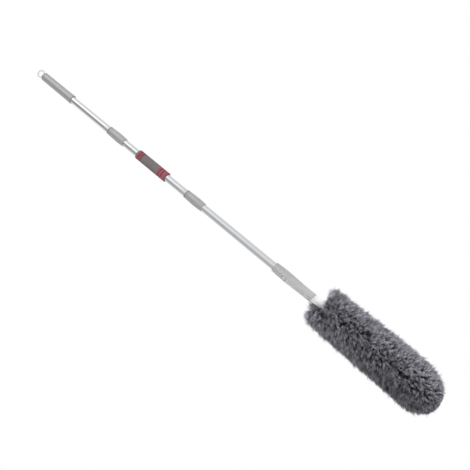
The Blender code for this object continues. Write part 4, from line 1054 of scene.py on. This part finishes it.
def strandCurls(rng, which, tufts, u):
    # Each strand winds on its own and with its lock: r sin and r cos of 2 pi turns u + phase
    n = len(which)
    phase = rng.uniform(0, 2 * np.pi, n)[:, None]
    turns = rng.uniform(*curlShape["ownTurns"], n)[:, None]
    curl = (curlShape["own"] * rng.uniform(*curlShape["ownRange"], n))[:, None]
    lockPhase = rng.uniform(0, 2 * np.pi, tufts)[which][:, None]
    lockTurns = rng.uniform(*curlShape["lockTurns"], tufts)[which][:, None]
    lockCurl = curlShape["lock"] * rng.uniform(*curlShape["lockRange"], tufts)[which][:, None]
    turn = 2 * np.pi * turns * u + phase
    lockTurn = 2 * np.pi * lockTurns * u + lockPhase
    curlAlong = curl * np.sin(turn) + lockCurl * np.sin(lockTurn)
    curlAcross = curl * np.cos(turn) + lockCurl * np.cos(lockTurn)
    return phase, curlAlong, curlAcross


def makeStrands():
    # A strand's centre line: root + normal L (1.4 u - 0.4 u^2) + along L s u^2 + across L b u^2 + a curl
    # that grows, drawn to its tuft's middle as u goes from 0 at the root to 1 at the tip
    rng = np.random.default_rng(strandShape["seed"])
    arc, angle = tuftCentres(rng)
    tufts = len(arc)
    point, normal, along, across = pileFrame(arc, angle)
    tuftLength = np.clip(rng.normal(1.0, lengthShape["tuftLoose"], tufts), *lengthShape["tuftRange"])
    fieldLean, fieldSweep = fallField(plushTop - point[:, 2], angle)
    near = smoothStep(fallShape["sweepZone"], arc)
    looseSweep = rng.normal(0, fallShape["sweepLoose"], tufts) * atLeast(fallShape["looseLeast"], near)
    tuftAlong = fieldSweep * atLeast(fallShape["sweepLeast"], near) + looseSweep
    tuftAcross = fieldLean + rng.normal(0, fallShape["lean"], tufts)
    tuftTone = rng.uniform(0, 1, tufts)
    which = np.repeat(np.arange(tufts), strandShape["perTuft"])
    n = len(which)
    spread = strandShape["spacing"] * strandShape["spread"] * np.sqrt(rng.uniform(0, 1, n))
    heading = rng.uniform(0, 2 * np.pi, n)
    offsetAlong, offsetAcross = (spread * np.cos(heading))[:, None], (spread * np.sin(heading))[:, None]
    axisShare = np.hypot(point[:, 0], point[:, 1]) / lengthShape["axisReach"]
    axisShare = np.clip(axisShare, lengthShape["axisLeast"], 1)[which]
    lobe, wisp = rimZones(point, arc)
    length = (strandLengths(rng, point, tuftLength, lobe, which) * axisShare)[:, None]
    root = point[which] - normal[which] * (strandShape["inner"] * axisShare)[:, None]
    slant = (tuftAlong[which] + rng.normal(0, fallShape["loose"], n))[:, None]
    lean = (tuftAcross[which] + rng.normal(0, fallShape["loose"], n))[:, None]
    u = np.array(strandShape["stations"])[None]
    phase, curlAlong, curlAcross = strandCurls(rng, which, tufts, u)
    draw = 1 - strandShape["draw"] * u
    moveAlong = offsetAlong * draw + length * slant * u ** 2 + curlAlong * u
    moveAcross = offsetAcross * draw + length * lean * u ** 2 + curlAcross * u
    rise = length * (1.4 * u - 0.4 * u ** 2)
    normal, along, across = (axis[which][:, None] for axis in (normal, along, across))
    centre = (root[:, None] + normal * rise[..., None] + along * moveAlong[..., None]
              + across * moveAcross[..., None])
    # No strand stands farther from the axis than the pile's widest radius and its reach
    flat = np.hypot(centre[..., 0], centre[..., 1])
    centre[..., :2] *= np.minimum(1, (plushFull + strandShape["reach"]) / np.maximum(flat, mm))[..., None]
    thick = strandShape["thickness"] * rng.uniform(*strandShape["thickRange"], n)
    width = thick[:, None] * np.array(strandShape["taper"])[None]
    corner = ((np.arange(3) * 2 * np.pi / 3)[None] + phase)[..., None]
    ring = along * np.cos(corner) + across * np.sin(corner)
    rings = centre[:, :4, None] + ring[:, None] * width[:, :4, None, None]
    vertices = np.concatenate([rings.reshape(n, 12, 3), centre[:, 4:5]], axis=1)
    shares = np.concatenate([np.repeat(u[0, :4], 3), [1.0]])
    ownTone = rng.uniform(0, 1, n)
    tone = ownTone + (tuftTone[which] - ownTone) * strandShape["lockTone"]
    # Painted light: strands of the rim's lobe and of the wisp beside the neck are made lighter where they
    # sit in shade
    tone = tone + (rimShape["rimPaintedLight"] * lobe + rimShape["wispPaintedLight"] * wisp)[which]
    return vertices, shares, tone, arc[which], angle[which]


def strandFaces():
    # Two triangles for each side of each stretch, a fan at the tip and one at the root
    row, side = np.meshgrid(np.arange(3), np.arange(3), indexing="ij")
    a, b = row * 3 + side, row * 3 + (side + 1) % 3
    c, d = b + 3, a + 3
    sides = np.stack([np.stack([a, b, c], -1), np.stack([a, c, d], -1)], axis=2).reshape(-1, 3)
    tip = np.array([[9, 10, 12], [10, 11, 12], [11, 9, 12]])
    return np.vstack([sides, tip, [[0, 2, 1]]])


strandPattern = strandFaces()


def fluffPiece(name, vertices, shares, tone, hinge):
    count, size = vertices.shape[:2]
    faces = (strandPattern[None] + (np.arange(count) * size)[:, None, None]).reshape(-1, 3)
    piece = putMesh(name, vertices.reshape(-1, 3), faces, "plushYarn", sharpEdges=False)
    for label, values in (("along", np.tile(shares, count)), ("tuft", np.repeat(tone, size))):
        attribute = piece.data.attributes.new(label, "FLOAT", "POINT")
        attribute.data.foreach_set("value", values.astype(np.float32))
    bendWith(piece, hinge, plushShape["bendZone"], "grey_plush")


def makePlush():
    past = plushShape["pastNotch"]
    splitArc = np.interp(plushTop - pileSplit, profile[past:, 1], profileLength[past:])
    farStart, farEnd = splitArc + backingShape["seam"], profileLength[-1] - backingShape["tipGap"]
    sleevePiece("backingNear", 0.0, splitArc, nearHinge, "plush_sleeve_base", "plush_sleeve_middle")
    sleevePiece("backingFar", farStart, farEnd, farHinge, "plush_sleeve_tip")
    vertices, shares, tone, arc, angle = makeStrands()
    sector = np.floor((angle % (2 * np.pi)) / (2 * np.pi) * strandShape["sectors"]).astype(int)
    isNear = arc < splitArc
    for half, mask, hinge in (("Near", isNear, nearHinge), ("Far", ~isNear, farHinge)):
        for index in range(strandShape["sectors"]):
            chosen = np.flatnonzero(mask & (sector == index))
            fluffPiece(f"fluff{half}{index + 1}", vertices[chosen], shares, tone[chosen], hinge)
    print("strands", len(arc), "triangles", len(arc) * len(strandPattern))


def stripPieces():
    start, end = nodeSpan("core_strip_base")[0], nodeSpan("core_strip_tip")[1]
    near = flatStrip("stripNear", start, pileSplit)
    far = flatStrip("stripFar", pileSplit, end)
    flipIfInside(near)
    flipIfInside(far)
    bendWith(near, nearHinge, stripShape["bendReach"], "aluminium_strip",
             "core_strip_base", "core_bend_near", "core_strip_middle")
    bendWith(far, farHinge, stripShape["bendReach"], "aluminium_strip", "core_bend_far", "core_strip_tip")


def keptNodes():
    # Inner pieces whose CAD shape is right keep it and get their finish
    for node, finish in (("ring_retainer", "springSteel"), ("spring_clip", "springSteel"),
                         ("clip_arm", "springSteel"), ("core_tip_cap", "milkyPlastic")):
        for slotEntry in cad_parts[node].material_slots:
            slotEntry.material = finishes[finish]


def makeFloor():
    size, drop = room["floorSize"], plushBottom - room["floorDrop"]
    corners = np.array([[-size, -size, drop], [size, -size, drop], [size, size, drop], [-size, size, drop]])
    material = bpy.data.materials.new("paleFloor")
    material.use_nodes = True
    shader = material.node_tree.nodes["Principled BSDF"]
    surface = {"Base Color": (room["floorTone"],) * 3, "Roughness": room["floorRoughness"]}
    feedAll(material.node_tree, shader, surface)
    finishes["paleFloor"] = material
    putMesh("floor", corners, np.array([[0, 1, 2, 3]]), "paleFloor")


hangingRing()
endCap()
handleGrip()
print("ring, cap and grip")
steelTube("upperTube", "upper_tube", "upper_section")
steelTube("middleTube", "middle_tube", "middle_section")
lowerTube()
threadedPlug("upperPlug", "upper_threaded_plug", "upper_section")
threadedPlug("middlePlug", "middle_threaded_plug", "middle_section")
plainRing("upperSeal", "upper_gasket", couplerShape["thread"], "sealRubber", "upper_seal", "grey_rubber")
plainRing("lowerSeal", "lower_gasket", couplerShape["thread"], "sealRubber", "lower_seal", "grey_rubber")
barrelCoupler("upperCoupler", "upper_coupler", "middle_section")
barrelCoupler("lowerCoupler", "lower_coupler", "lower_section")
print("pole")
end, joint = foamShape["endFillet"], foamShape["jointFillet"]
foamSleeve("gripEnd", "grip_end_upper", "gripFoam", "grey_foam", end, joint)
foamSleeve("bandUpper", "grip_band_upper", "redFoam", "red_foam", joint, joint,
           grooves=foamShape["upperGrooves"])
foamSleeve("foamGrip", "foam_grip", "gripFoam", "grey_foam", joint, joint, foamShape["fineDepth"])
foamSleeve("bandLower", "grip_band_lower", "redFoam", "red_foam", joint, end,
           grooves=foamShape["lowerGrooves"])
print("foam grip")
headSocket()
lockButton()
headNeck()
plainRing("sleeveTie", "sleeve_tie", neckShape["radius"] + seatGap, "milkyPlastic", "head_base",
          "white_plastic")
stripPieces()
keptNodes()
print("socket and neck")
makePlush()
makeFloor()
print("plush head")
